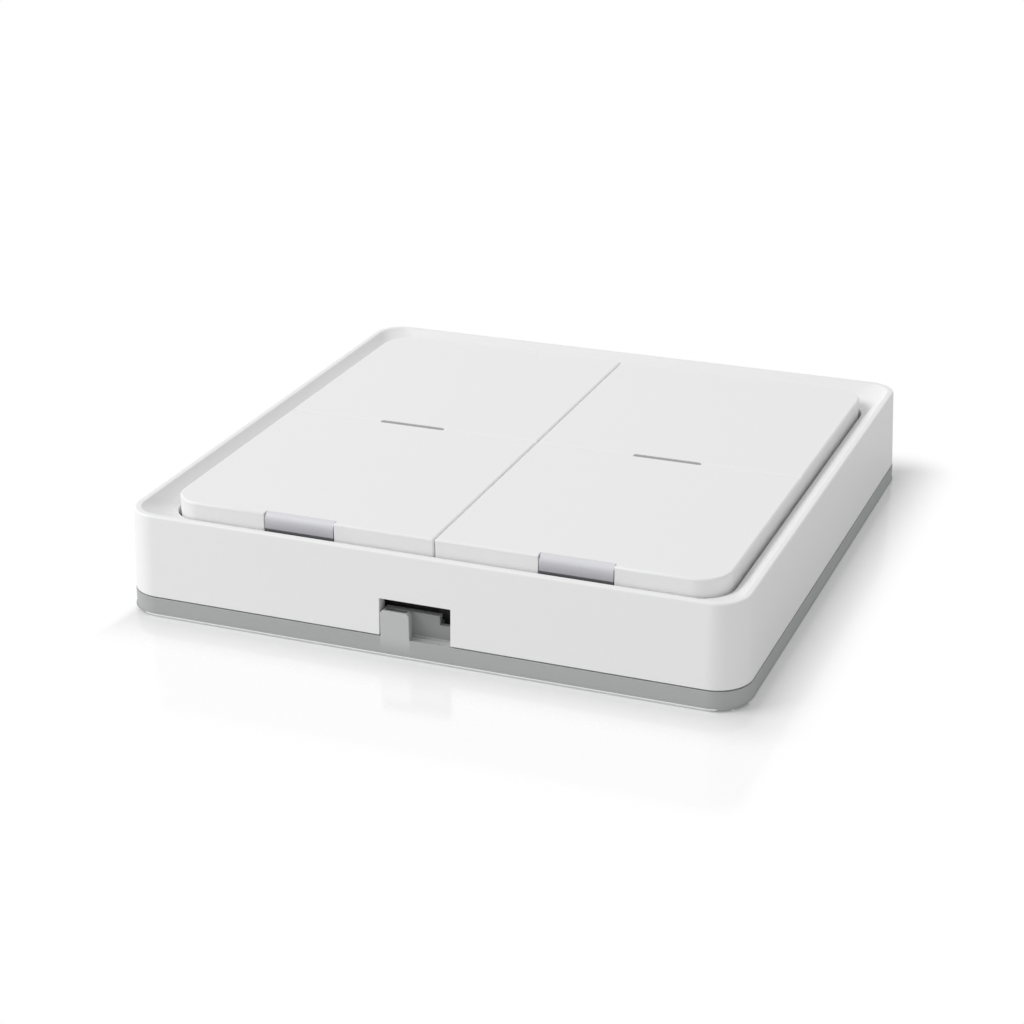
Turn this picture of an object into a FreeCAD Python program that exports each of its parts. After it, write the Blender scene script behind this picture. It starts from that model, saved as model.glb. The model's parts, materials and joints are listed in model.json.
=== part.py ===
"""Smart light switch: a battery-powered double rocker switch on a clip-on wall plate.

Frame: the switch lies on its back on the plane z = 0, its face up. X runs left to right, Y from
the edge with the pry notch (front) to the far edge, Z from the wall out to the rockers. Millimetres.
"""
import FreeCAD, Part
import math
import os

import Sketcher

SIZES = (
    ("plate_width", 86.0, "wall plate, left to right"),
    ("plate_depth", 86.0, "wall plate, front to back"),
    ("plate_corner", 5.0, "corner radius of the wall plate in plan"),
    ("plate_rim_top", 2.7, "height of the grey band that shows"),
    ("plate_lip", 0.45, "height of the lip round the plate's foot"),
    ("lip_reach", 0.15, "how far that lip stands out from the band"),
    ("lip_rounding", 0.12, "rounding of that lip's upper edge"),
    ("plate_floor", 1.4, "thickness of the plate's floor"),
    ("plate_rim", 1.6, "width of the raised rim"),
    ("plate_chamfer", 0.3, "chamfer round the plate's back edge"),
    ("shadow_step", 0.15, "height of the dark line between band and cover"),
    ("shadow_width", 1.0, "how far the dark line reaches in"),
    ("upstand_wall", 1.0, "thickness of the locating wall inside the cover"),
    ("upstand_top", 5.0, "height of the locating wall"),
    ("slot_spacing", 60.3, "distance between the two wall screws"),
    ("slot_width", 4.2, "width of a wall screw slot"),
    ("slot_length", 8.0, "length of a wall screw slot"),
    ("tape_length", 52.0, "adhesive recess, left to right"),
    ("tape_width", 14.0, "adhesive recess, front to back"),
    ("tape_inset", 17.0, "middle of an adhesive recess from the plate's edge"),
    ("tape_depth", 0.3, "depth of an adhesive recess"),
    ("cover_inset", 0.2, "cover's foot inside the plate's edge"),
    ("cover_draft", 0.45, "how far the cover's sides lean in"),
    ("cover_wall", 1.45, "cover's side wall at its top"),
    ("rim_radius", 0.3, "rounding of the rim's outer edge"),
    ("rim_inner_radius", 0.3, "rounding where the rim turns into the slope"),
    ("rim_width", 1.05, "width of the rim, rounding included"),
    ("rim_corner", 3.6, "corner radius of the rim's inner edge"),
    ("slope_depth", 2.1, "drop of the slope round the opening"),
    ("slope_run", 2.5, "width of the slope in plan, left and right"),
    ("slope_end_run", 4.0, "width of the slope in plan, front and back"),
    ("slope_band_depth", 1.05, "drop of the slope's steeper outer band"),
    ("slope_band_run", 1.1, "width of that band in plan"),
    ("slope_band_corner", 4.1, "corner radius where that band ends"),
    ("lip", 1.4, "thickness of the opening's edge under the slope"),
    ("notch_width", 9.8, "pry notch, left to right"),
    ("notch_shift", -0.4, "middle of the pry notch from the cover's middle"),
    ("notch_top", 7.9, "height of the pry notch's upper edge"),
    ("tab_width", 4.0, "pry tab, left to right"),
    ("tab_top", 6.35, "height of the pry tab"),
    ("tab_wall", 0.5, "wall of the hollow pry tab"),
    ("tab_rounding", 0.5, "rounding of the tab's top corners"),
    ("pocket_depth", 1.6, "depth of the pry pocket from the plate's edge"),
    ("pocket_wall", 0.9, "thickness of the pocket's back wall"),
    ("pocket_wall_top", 6.2, "height of the pocket's back wall"),
    ("pocket_step_top", 4.9, "height of the low end of that wall"),
    ("pocket_step_width", 1.8, "length of the low end of that wall"),
    ("pocket_gap_depth", 1.6, "depth of the gap in the locating wall behind that low end"),
    ("notch_clearance", 0.15, "between the notch's ends and what stands in it"),
    ("catch_length", 8.0, "length of a snap catch"),
    ("catch_height", 0.8, "height of a snap catch"),
    ("catch_reach", 0.55, "how far a snap catch stands out"),
    ("catch_place", 22.0, "snap catches from the middle"),
    ("catch_clearance", 0.15, "round a snap catch in its pocket"),
    ("plate_catch_bottom", 3.9, "height of the plate's catches"),
    ("wall_clearance", 0.3, "between nested walls"),
    ("rocker_side_gap", 0.4, "rocker to opening at the sides"),
    ("rocker_end_gap", 0.4, "rocker to opening at its two ends"),
    ("rocker_split", 0.1, "between the two rockers"),
    ("rocker_proud", 0.3, "rocker's top above the rim"),
    ("rocker_face", 1.6, "thickness of the rocker's face"),
    ("rocker_skirt", 1.2, "thickness of the rocker's skirt"),
    ("rocker_room", 3.6, "between the chassis plate and the rocker's face"),
    ("skirt_gap", 0.85, "rocker's skirt above the chassis plate"),
    ("rocker_corner", 4.3, "rocker's outer corner radius"),
    ("rocker_rounding", 0.3, "rounding round the rocker's face"),
    ("rocker_split_rounding", 0.3, "rounding where the rockers meet"),
    ("groove_width", 1.0, "groove across the rockers"),
    ("groove_depth", 0.1, "depth of that groove"),
    ("tick_length", 9.9, "tick inlay, left to right"),
    ("tick_width", 0.95, "tick inlay, front to back"),
    ("tick_depth", 0.5, "depth of the inlay's slot below the face"),
    ("window_width", 9.9, "light guide's window, left to right"),
    ("window_depth", 1.0, "light guide's width at the face"),
    ("window_gap", 0.1, "between light guide and rocker"),
    ("lens_land", 0.075, "flat left on the light guide's top beside its rounding"),
    ("guide_height", 3.4, "light guide's height at the rocker's end"),
    ("guide_arm", 1.0, "thickness of the light guide's arm"),
    ("guide_arm_width", 5.0, "width of the light guide's arm"),
    ("guide_foot", 2.4, "light guide's foot, front to back"),
    ("guide_foot_setback", 2.0, "light guide's foot behind its window"),
    ("guide_foot_height", 2.4, "light guide's foot below the rocker's face"),
    ("pivot_rise", 1.6, "rockers' pivot axis above the chassis plate"),
    ("pin_radius", 1.25, "radius of a pivot pin"),
    ("pin_clearance", 0.03, "radial clearance of a pivot pin"),
    ("ear_thickness", 1.6, "thickness of a pivot ear"),
    ("ear_length", 5.0, "pivot ear, front to back"),
    ("ear_crown", 0.35, "pivot ear above its pin"),
    ("ear_rounding", 0.5, "rounding of a pivot ear's corners"),
    ("ear_inset", 4.3, "pivot ear from the rocker's side"),
    ("ear_gap", 0.3, "between a pivot ear and the rocker's rib"),
    ("rib_thickness", 1.6, "rocker's rib that carries the pin"),
    ("rib_clearance", 0.35, "under the rocker's rib"),
    ("key_inset", 11.9, "switch buttons in from the rocker's ends"),
    ("nub_radius", 1.2, "rocker's pushing nub"),
    ("nub_gap", 0.06, "nub above its switch button"),
    ("unit_gap", 0.4, "between wall plate and rear cover"),
    ("rear_cover_floor", 1.2, "thickness of the rear cover's floor"),
    ("rear_cover_wall", 1.2, "thickness of the rear cover's wall"),
    ("rear_cover_gap", 0.4, "rear cover inside the locating wall"),
    ("rear_cover_corner", 1.2, "corner radius of the rear cover"),
    ("board_standoff", 3.7, "rear cover's floor to the circuit board"),
    ("board_thickness", 1.2, "circuit board"),
    ("board_gap", 0.3, "circuit board to the chassis"),
    ("board_edge", 0.4, "circuit board inside the rear cover's wall"),
    ("board_corner", 1.0, "corner radius of the circuit board"),
    ("chassis_floor", 1.2, "thickness of the chassis plate"),
    ("chassis_wall", 1.2, "thickness of the chassis rim"),
    ("chassis_catch_rise", 0.7, "chassis's catches above its back"),
    ("well_reach", 7.0, "wall screw well, in from the screw to the middle"),
    ("well_width", 10.0, "wall screw well, front to back"),
    ("well_height", 2.8, "height of the wall screw well"),
    ("well_wall", 1.0, "wall of the wall screw well"),
    ("well_corner", 2.0, "corner radius of the wall screw well"),
    ("screw_inset", 10.5, "case screws in from the plate's edges"),
    ("screw_radius", 0.8, "case screw's shank"),
    ("screw_head_radius", 1.9, "case screw's head"),
    ("screw_head", 1.3, "height of a case screw's head"),
    ("screw_seat_depth", 1.6, "case screw's seat in from the rear cover's back"),
    ("screw_length", 7.0, "case screw under its head"),
    ("cross_depth", 0.6, "depth of the cross in a case screw"),
    ("cross_length", 2.4, "length of an arm pair of that cross"),
    ("cross_width", 0.5, "width of that cross's arms"),
    ("boss_radius", 2.4, "screw boss on the chassis"),
    ("boss_cap", 1.0, "chassis's screw boss past the screw's tip"),
    ("rear_boss_radius", 2.8, "screw boss in the rear cover"),
    ("screw_hole_gap", 0.3, "round the screw in what it passes through"),
    ("switch_side", 6.2, "push switch, each way"),
    ("switch_height", 1.9, "push switch's moulded body"),
    ("switch_plate", 0.3, "push switch's metal cover"),
    ("switch_window_gap", 0.5, "push switch in its chassis window"),
    ("button_radius", 1.7, "switch button"),
    ("button_clearance", 0.05, "radial clearance of a switch button"),
    ("button_proud", 0.8, "switch button above its cover"),
    ("button_chamfer", 0.2, "chamfer on a switch button"),
    ("button_travel", 0.45, "switch button's travel each way"),
    ("button_floor", 0.3, "switch body under the button's bore"),
    ("led_length", 3.2, "indicator LED, left to right"),
    ("led_width", 1.6, "indicator LED, front to back"),
    ("led_height", 1.0, "height of an indicator LED"),
    ("led_chamfer", 0.25, "chamfer round an indicator LED's top"),
    ("led_window_gap", 0.9, "LED in its chassis window"),
    ("cell_side_gap", 0.75, "coin cell inside the battery door's rim"),
    ("cell_height", 3.0, "height of the coin cell"),
    ("cell_crimp", 1.45, "coin cell's edge round its negative cap"),
    ("cell_cap_height", 0.4, "height of the negative cap"),
    ("cell_gap", 0.1, "coin cell above the battery door"),
    ("cell_place", 8.0, "coin cell back from the middle"),
    ("holder_gap", 0.25, "battery holder round the cell"),
    ("holder_wall", 2.4, "battery holder's ring"),
    ("holder_height", 2.3, "height of the battery holder"),
    ("contact_thickness", 0.2, "battery contact strip"),
    ("contact_width", 6.0, "battery contact strip"),
    ("contact_foot", 3.0, "battery contact's soldered foot"),
    ("contact_slot_gap", 0.4, "positive contact in the holder's gap"),
    ("door_radius", 14.2, "battery door"),
    ("door_gap", 0.3, "battery door in its opening"),
    ("door_rim", 1.2, "battery door's raised rim"),
    ("door_rim_height", 1.0, "height of that rim"),
    ("lug_reach", 1.4, "how far a door lug stands out"),
    ("lug_width", 6.0, "width of a door lug"),
    ("lug_lift", 0.2, "door lug above the rear cover's floor"),
    ("lug_slot_gap", 0.4, "lug in its entry slot"),
    ("coin_slot_length", 13.0, "coin slot in the battery door"),
    ("coin_slot_width", 1.9, "coin slot in the battery door"),
    ("coin_slot_depth", 0.7, "coin slot in the battery door"),
    ("radio_width", 14.0, "radio module board, left to right"),
    ("radio_length", 18.0, "radio module board, front to back"),
    ("radio_thickness", 0.8, "radio module board"),
    ("radio_from_side", 15.6, "middle of the radio module from the board's left edge"),
    ("radio_from_front", 16.6, "middle of the radio module from the board's front edge"),
    ("shield_width", 11.6, "radio shield can, left to right"),
    ("shield_length", 12.0, "radio shield can, front to back"),
    ("shield_height", 1.6, "radio shield can"),
    ("shield_wall", 0.2, "sheet of the shield can"),
    ("antenna_end", 1.0, "bare board at the shield's near end"),
    ("pair_from_side", 13.6, "pairing switch from the board's right edge"),
    ("pair_from_front", 15.6, "pairing switch from the board's front edge"),
    ("pair_side", 4.4, "pairing switch, each way"),
    ("pair_height", 1.6, "pairing switch's body"),
    ("pair_radius", 1.0, "pairing button"),
    ("pair_travel", 0.3, "pairing button's travel"),
    ("pair_tip_depth", 0.3, "pairing button's tip in from the rear cover's back"),
    ("pair_engagement", 0.6, "pairing button inside its body"),
    ("pair_hole_gap", 0.3, "pairing button in the rear cover"),
    ("crystal_length", 3.2, "crystal, left to right"),
    ("crystal_width", 2.5, "crystal, front to back"),
    ("crystal_height", 0.7, "height of the crystal"),
    ("crystal_from_radio", 13.0, "middle of the crystal from the radio module's"),
    ("crystal_from_front", 15.6, "middle of the crystal from the board's front edge"),
    ("capacitor_length", 6.0, "bulk capacitor, left to right"),
    ("capacitor_width", 3.2, "bulk capacitor, front to back"),
    ("capacitor_height", 2.5, "height of the bulk capacitor"),
    ("capacitor_from_front", 7.6, "bulk capacitor from the board's front edge"),
    ("chip_length", 1.6, "small board part, left to right"),
    ("chip_width", 0.8, "small board part, front to back"),
    ("chip_height", 0.6, "height of a small board part"),
    ("chip_pitch", 3.4, "between small board parts in a row"),
    ("chips_from_front", 11.6, "first row of small parts from the board's front edge"),
    ("chip_row_pitch", 3.0, "between the rows of small parts"),
)

DOOR_LUGS = 3
DOOR_TURN = 30.0
CHIPS_PER_ROW = 4
CHIP_ROWS = 3

doc = FreeCAD.newDocument("light_switch")
sheet = doc.addObject("Spreadsheet::Sheet", "Sizes")


class Size:
    """A length of the switch: the formula that the document keeps, and its number now."""

    def __init__(self, formula, number):
        self.formula = formula
        self.number = number

    @staticmethod
    def of(value):
        return value if isinstance(value, Size) else Size(f"{value:g}", float(value))

    def __add__(self, other):
        other = Size.of(other)
        return Size(f"({self.formula} + {other.formula})", self.number + other.number)

    def __sub__(self, other):
        other = Size.of(other)
        return Size(f"({self.formula} - {other.formula})", self.number - other.number)

    def __mul__(self, other):
        other = Size.of(other)
        return Size(f"({self.formula} * {other.formula})", self.number * other.number)

    def __truediv__(self, other):
        other = Size.of(other)
        return Size(f"({self.formula} / {other.formula})", self.number / other.number)

    def __neg__(self):
        return Size(f"(-1 * {self.formula})", -self.number)

    def __rmul__(self, other):
        return Size.of(other) * self


class Sheet:
    """The rows of SIZES as named lengths, each backed by an aliased cell."""

    def __init__(self, rows):
        for row, (name, number, meaning) in enumerate(rows, start=1):
            sheet.set(f"A{row}", name)
            sheet.set(f"B{row}", f"{number:g}")
            sheet.set(f"C{row}", meaning)
            sheet.setAlias(f"B{row}", name)
            setattr(self, name, Size(f"Sizes.{name}", number))


d = Sheet(SIZES)
doc.recompute()
ZERO = Size.of(0)

# Sketches, features and primitives


def new_body(label):
    body = doc.addObject("PartDesign::Body", label)
    body.Label = label
    return body


def new_sketch(body, name, role="XY_Plane", lift=ZERO, aside=None, turn=0.0):
    """A sketch on one of the body's own planes, lifted along that plane's normal."""
    sketch = body.newObject("Sketcher::SketchObject", name)
    plane = next(f for f in body.Origin.OriginFeatures if f.Role == role)
    sketch.AttachmentSupport = (plane, [""])
    sketch.MapMode = "FlatFace"
    sketch.AttachmentOffset = FreeCAD.Placement(
        FreeCAD.Vector(0, 0, 0), FreeCAD.Rotation(FreeCAD.Vector(0, 0, 1), turn))
    sketch.setExpression("AttachmentOffset.Base.z", lift.formula)
    if aside is not None:
        sketch.setExpression("AttachmentOffset.Base.x", aside[0].formula)
        sketch.setExpression("AttachmentOffset.Base.y", aside[1].formula)
    return sketch


def hold(sketch, kind, where, length):
    """A dimension from the sketch's origin, or of a radius, bound to its formula."""
    index = sketch.addConstraint(Sketcher.Constraint(kind, *where, length.number))
    sketch.setExpression(f"Constraints[{index}]", length.formula)


def hold_point(sketch, geometry, point, across, along):
    hold(sketch, "DistanceX", (-1, 1, geometry, point), across)
    hold(sketch, "DistanceY", (-1, 1, geometry, point), along)


def line(x0, y0, x1, y1):
    return Part.LineSegment(FreeCAD.Vector(x0, y0, 0), FreeCAD.Vector(x1, y1, 0))


def arc(x, y, radius, start, end):
    circle = Part.Circle(FreeCAD.Vector(x, y, 0), FreeCAD.Vector(0, 0, 1), radius)
    return Part.ArcOfCircle(circle, math.radians(start), math.radians(end))


def draw_outline(sketch, points):
    """A closed outline of straight lines, each corner held by its two distances."""
    first = sketch.GeometryCount
    count = len(points)
    for here, there in zip(points, points[1:] + points[:1]):
        sketch.addGeometry(line(here[0].number, here[1].number, there[0].number, there[1].number))
    for step in range(count):
        following = first + (step + 1) % count
        sketch.addConstraint(Sketcher.Constraint("Coincident", first + step, 2, following, 1))
    for step, (across, along) in enumerate(points):
        hold_point(sketch, first + step, 1, across, along)


def draw_rectangle(sketch, left, right, front, back):
    draw_outline(sketch, [(left, front), (right, front), (right, back), (left, back)])


def draw_rounded(sketch, left, right, front, back, corner):
    """A rectangle whose four corners are equal quarter arcs."""
    x0, x1, y0, y1, r = (n.number for n in (left, right, front, back, corner))
    first = sketch.GeometryCount
    for side, turn in (
        (line(x0 + r, y0, x1 - r, y0), arc(x1 - r, y0 + r, r, -90, 0)),
        (line(x1, y0 + r, x1, y1 - r), arc(x1 - r, y1 - r, r, 0, 90)),
        (line(x1 - r, y1, x0 + r, y1), arc(x0 + r, y1 - r, r, 90, 180)),
        (line(x0, y1 - r, x0, y0 + r), arc(x0 + r, y0 + r, r, 180, 270)),
    ):
        sketch.addGeometry(side)
        sketch.addGeometry(turn)
    for step in range(8):
        following = first + (step + 1) % 8
        sketch.addConstraint(Sketcher.Constraint("Tangent", first + step, 2, following, 1))
    for step, direction in ((0, "Horizontal"), (2, "Vertical"), (4, "Horizontal"), (6, "Vertical")):
        sketch.addConstraint(Sketcher.Constraint(direction, first + step))
    for step in (3, 5, 7):
        sketch.addConstraint(Sketcher.Constraint("Equal", first + 1, first + step))
    hold(sketch, "DistanceY", (-1, 1, first, 1), front)
    hold(sketch, "DistanceX", (-1, 1, first + 2, 1), right)
    hold(sketch, "DistanceY", (-1, 1, first + 4, 1), back)
    hold(sketch, "DistanceX", (-1, 1, first + 6, 1), left)
    hold(sketch, "Radius", (first + 1,), corner)


def draw_slot(sketch, across, along, length, width):
    """A slot along X with round ends, about the point (across, along)."""
    x, y = across.number, along.number
    r = width.number / 2
    reach = length.number / 2 - r
    first = sketch.GeometryCount
    sketch.addGeometry(line(x - reach, y - r, x + reach, y - r))
    sketch.addGeometry(arc(x + reach, y, r, -90, 90))
    sketch.addGeometry(line(x + reach, y + r, x - reach, y + r))
    sketch.addGeometry(arc(x - reach, y, r, 90, 270))
    for step in range(4):
        following = first + (step + 1) % 4
        sketch.addConstraint(Sketcher.Constraint("Tangent", first + step, 2, following, 1))
    sketch.addConstraint(Sketcher.Constraint("Horizontal", first))
    hold(sketch, "Radius", (first + 1,), width / 2)
    hold_point(sketch, first + 1, 3, across + (length - width) / 2, along)
    hold(sketch, "DistanceX", (-1, 1, first + 3, 3), across - (length - width) / 2)


def draw_circle(sketch, across, along, radius):
    centre = FreeCAD.Vector(across.number, along.number, 0)
    circle = sketch.addGeometry(Part.Circle(centre, FreeCAD.Vector(0, 0, 1), radius.number))
    hold_point(sketch, circle, 3, across, along)
    hold(sketch, "Radius", (circle,), radius)


def failures():
    return [item.Label for item in doc.Objects if {"Invalid", "Error"} & set(item.State)]


def pad(body, sketch, length, backwards=False):
    feature = body.newObject("PartDesign::Pad", sketch.Name + "_pad")
    feature.Profile = sketch
    feature.setExpression("Length", length.formula)
    feature.Reversed = backwards
    sketch.Visibility = False
    return feature


def pocket(body, sketch, length, backwards=False):
    """Cuts against the sketch's normal, or along it when backwards, and checks that it cuts."""
    doc.recompute()
    before = body.Shape.Volume
    feature = body.newObject("PartDesign::Pocket", sketch.Name + "_pocket")
    feature.Profile = sketch
    feature.setExpression("Length", length.formula)
    feature.Reversed = backwards
    sketch.Visibility = False
    doc.recompute()
    if not body.Shape.Volume < before - 1e-6:
        raise RuntimeError(f"{sketch.Name} cuts nothing from {body.Label}: {failures()}")
    return feature


def soften(body, kind, size, chosen):
    """A Fillet or Chamfer on the edges of the body's tip that `chosen` picks."""
    doc.recompute()
    tip = body.Tip
    edges = [f"Edge{i}" for i, edge in enumerate(tip.Shape.Edges, start=1) if chosen(edge)]
    if not edges:
        raise RuntimeError(f"no edge of {body.Label} to soften")
    feature = body.newObject(f"PartDesign::{kind}", f"{body.Label}_{kind.lower()}")
    feature.Base = (tip, edges)
    feature.setExpression("Radius" if kind == "Fillet" else "Size", size.formula)
    return feature


def lies_at_height(edge, height, tolerance=1e-4):
    box = edge.BoundBox
    level = height.number
    return abs(box.ZMin - level) < tolerance and abs(box.ZMax - level) < tolerance


def lies_within(edge, half, tolerance=1e-4):
    """Whether an edge keeps inside that distance from the middle, left and right."""
    box = edge.BoundBox
    return max(-box.XMin, box.XMax) < half.number + tolerance


def place(item, x, y, z):
    for axis, length in zip("xyz", (x, y, z)):
        item.setExpression(f"Placement.Base.{axis}", length.formula)


def block(name, left, right, front, back, bottom, top):
    box = doc.addObject("Part::Box", name)
    box.setExpression("Length", (right - left).formula)
    box.setExpression("Width", (back - front).formula)
    box.setExpression("Height", (top - bottom).formula)
    place(box, left, front, bottom)
    return box


def centred_block(name, x, y, width, depth, bottom, top):
    return block(name, x - width / 2, x + width / 2, y - depth / 2, y + depth / 2, bottom, top)


def rod(name, x, y, bottom, top, radius):
    cylinder = doc.addObject("Part::Cylinder", name)
    cylinder.setExpression("Radius", radius.formula)
    cylinder.setExpression("Height", (top - bottom).formula)
    place(cylinder, x, y, bottom)
    return cylinder


def cut(label, base, tool):
    result = doc.addObject("Part::Cut", label)
    result.Base = base
    result.Tool = tool
    result.Label = label
    return result


def fuse(label, *shapes):
    result = doc.addObject("Part::MultiFuse", label)
    result.Shapes = list(shapes)
    result.Label = label
    return result


def gather(label, shapes):
    """Several like solids under one name."""
    result = doc.addObject("Part::Compound", label)
    result.Links = list(shapes)
    result.Label = label
    return result


def chamfered(label, base, size, chosen):
    doc.recompute()
    result = doc.addObject("Part::Chamfer", label)
    result.Base = base
    result.Edges = [(i, size.number, size.number)
                    for i, edge in enumerate(base.Shape.Edges, start=1) if chosen(edge)]
    result.Label = label
    return result


# Places that several pieces share

half_width = d.plate_width / 2
half_depth = d.plate_depth / 2
cover_foot = d.plate_rim_top + d.shadow_step
cover_corner = d.plate_corner - d.cover_inset
foot_half_width = half_width - d.cover_inset
foot_half_depth = half_depth - d.cover_inset
top_half_width = foot_half_width - d.cover_draft
top_half_depth = foot_half_depth - d.cover_draft
cavity_half_width = top_half_width - d.cover_wall
cavity_half_depth = top_half_depth - d.cover_wall
rim_half_width = top_half_width - d.rim_width
rim_half_depth = top_half_depth - d.rim_width
opening_half_width = rim_half_width - d.slope_run
opening_half_depth = rim_half_depth - d.slope_end_run
opening_corner = d.rocker_corner + d.rocker_side_gap
upstand_half_width = cavity_half_width - d.wall_clearance
upstand_half_depth = cavity_half_depth - d.wall_clearance
upstand_corner = cover_corner - d.cover_wall - d.cover_draft

rear_cover_bottom = d.plate_floor + d.unit_gap
rear_cover_floor_top = rear_cover_bottom + d.rear_cover_floor
rear_half_width = upstand_half_width - d.upstand_wall - d.rear_cover_gap
rear_half_depth = upstand_half_depth - d.upstand_wall - d.rear_cover_gap
board_half_width = rear_half_width - d.rear_cover_wall - d.board_edge
board_half_depth = rear_half_depth - d.rear_cover_wall - d.board_edge
board_bottom = rear_cover_floor_top + d.board_standoff
board_top = board_bottom + d.board_thickness
chassis_bottom = board_top + d.board_gap
chassis_top = chassis_bottom + d.chassis_floor
chassis_catch_bottom = chassis_bottom + d.chassis_catch_rise
screw_seat = rear_cover_bottom + d.screw_seat_depth
screw_tip = screw_seat + d.screw_length

rocker_bottom = chassis_top + d.skirt_gap
rocker_underside = chassis_top + d.rocker_room
rocker_top = rocker_underside + d.rocker_face
rocker_outer = opening_half_width - d.rocker_side_gap
rocker_inner = d.rocker_split / 2
rocker_half_depth = opening_half_depth - d.rocker_end_gap
rocker_middle = (rocker_outer + rocker_inner) / 2
cover_top = rocker_top - d.rocker_proud
cover_ceiling = cover_top - d.slope_depth - d.lip

pivot_height = chassis_top + d.pivot_rise
ear_top = pivot_height + d.pin_radius + d.ear_crown
key_place = rocker_half_depth - d.key_inset
key_top = board_top + d.switch_height + d.switch_plate + d.button_proud
guide_front = rocker_half_depth
guide_back = rocker_half_depth - d.window_depth
led_place = guide_back - d.guide_foot_setback - d.guide_foot / 2

cell_radius = d.door_radius - d.door_rim - d.cell_side_gap
cell_bottom = rear_cover_floor_top + d.cell_gap
cell_top = cell_bottom + d.cell_height
radio_place = d.radio_from_side - board_half_width
pair_across = board_half_width - d.pair_from_side
pair_along = d.pair_from_front - board_half_depth

SIDES = (("left", -1), ("right", 1))
ENDS = (("front", -1), ("rear", 1))
SCREW_PLACES = [(side * (half_width - d.screw_inset), end * (half_depth - d.screw_inset))
                for _, side in SIDES for _, end in ENDS]


def span(side, near, far):
    """A stretch of X given from the middle outwards, as left and right on the side asked for."""
    return (near, far) if side > 0 else (-far, -near)


# Wall plate: the grey moulding that screws or sticks to the wall, with the pry tab


def make_wall_plate():
    body = new_body("wall_plate")
    outline = new_sketch(body, "plate_outline")
    draw_rounded(outline, -half_width, half_width, -half_depth, half_depth, d.plate_corner)
    pad(body, outline, d.plate_lip)
    soften(body, "Fillet", d.lip_rounding, lambda edge: lies_at_height(edge, d.plate_lip))
    soften(body, "Chamfer", d.plate_chamfer, lambda edge: lies_at_height(edge, ZERO))

    band = new_sketch(body, "plate_band", lift=d.plate_lip / 2)
    inset = d.lip_reach
    draw_rounded(band, inset - half_width, half_width - inset, inset - half_depth,
                 half_depth - inset, d.plate_corner - inset)
    pad(body, band, d.plate_rim_top - d.plate_lip / 2)

    ledge = new_sketch(body, "plate_ledge", lift=d.plate_rim_top)
    inset = d.shadow_width
    draw_rounded(ledge, inset - half_width, half_width - inset, inset - half_depth,
                 half_depth - inset, d.plate_corner - inset)
    pad(body, ledge, d.shadow_step)

    recess = new_sketch(body, "plate_recess", lift=cover_foot)
    inset = d.plate_rim
    draw_rounded(recess, inset - half_width, half_width - inset, inset - half_depth,
                 half_depth - inset, d.plate_corner - inset)
    pocket(body, recess, cover_foot - d.plate_floor)

    upstand = new_sketch(body, "plate_upstand", lift=d.plate_floor)
    inner_width = upstand_half_width - d.upstand_wall
    inner_depth = upstand_half_depth - d.upstand_wall
    draw_rounded(upstand, -upstand_half_width, upstand_half_width, -upstand_half_depth,
                 upstand_half_depth, upstand_corner)
    draw_rounded(upstand, -inner_width, inner_width, -inner_depth, inner_depth,
                 upstand_corner - d.upstand_wall)
    pad(body, upstand, d.upstand_top - d.plate_floor)

    catches = new_sketch(body, "plate_catches", lift=d.plate_catch_bottom)
    for _, side in SIDES:
        left, right = span(side, upstand_half_width - d.upstand_wall / 2,
                           upstand_half_width + d.catch_reach)
        for _, end in ENDS:
            middle = end * d.catch_place
            draw_rectangle(catches, left, right, middle - d.catch_length / 2,
                           middle + d.catch_length / 2)
    pad(body, catches, d.catch_height)

    add_pry_tab(body)

    holes = new_sketch(body, "plate_holes", lift=d.plate_floor)
    for _, side in SIDES:
        draw_slot(holes, side * d.slot_spacing / 2, ZERO, d.slot_length, d.slot_width)
    pocket(body, holes, d.plate_floor)

    tape = new_sketch(body, "plate_tape")
    for _, end in ENDS:
        middle = end * (half_depth - d.tape_inset)
        draw_rectangle(tape, -d.tape_length / 2, d.tape_length / 2, middle - d.tape_width / 2,
                       middle + d.tape_width / 2)
    pocket(body, tape, d.tape_depth, backwards=True)
    return body


def add_pry_tab(body):
    """The hollow tab and the stepped wall behind the pry notch, raised from the plate's rim."""
    left = d.notch_shift - d.notch_width / 2 + d.notch_clearance
    right = d.notch_shift + d.notch_width / 2 - d.notch_clearance
    step = right - d.pocket_step_width
    wall_front = d.pocket_depth - half_depth
    wall_back = wall_front + d.pocket_wall
    low = new_sketch(body, "pocket_low_wall", lift=d.plate_floor)
    draw_rectangle(low, left, right, wall_front, wall_back)
    pad(body, low, d.pocket_step_top - d.plate_floor)
    high = new_sketch(body, "pocket_high_wall", lift=d.plate_floor)
    draw_rectangle(high, left, step, wall_front, wall_back)
    pad(body, high, d.pocket_wall_top - d.plate_floor)
    gap = new_sketch(body, "pocket_gap", lift=d.upstand_top)
    draw_rectangle(gap, step, right + d.notch_clearance, -upstand_half_depth,
                   d.upstand_wall + d.notch_clearance - upstand_half_depth)
    pocket(body, gap, d.pocket_gap_depth)

    face = d.lip_reach - half_depth
    tab_right = left + d.tab_width
    tab = new_sketch(body, "pry_tab", "XZ_Plane", lift=-face)
    draw_rounded(tab, left, tab_right, d.plate_floor, d.tab_top, d.tab_rounding)
    pad(body, tab, wall_front - face, backwards=True)
    hollow = new_sketch(body, "pry_tab_hollow", lift=d.tab_top)
    draw_rectangle(hollow, left + d.tab_wall, tab_right - d.tab_wall, face + d.tab_wall, wall_front)
    pocket(body, hollow, d.tab_top - d.plate_rim_top)


# Front cover: the white frame, leaning sides, a rounded rim and a slope down to the rockers


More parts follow.
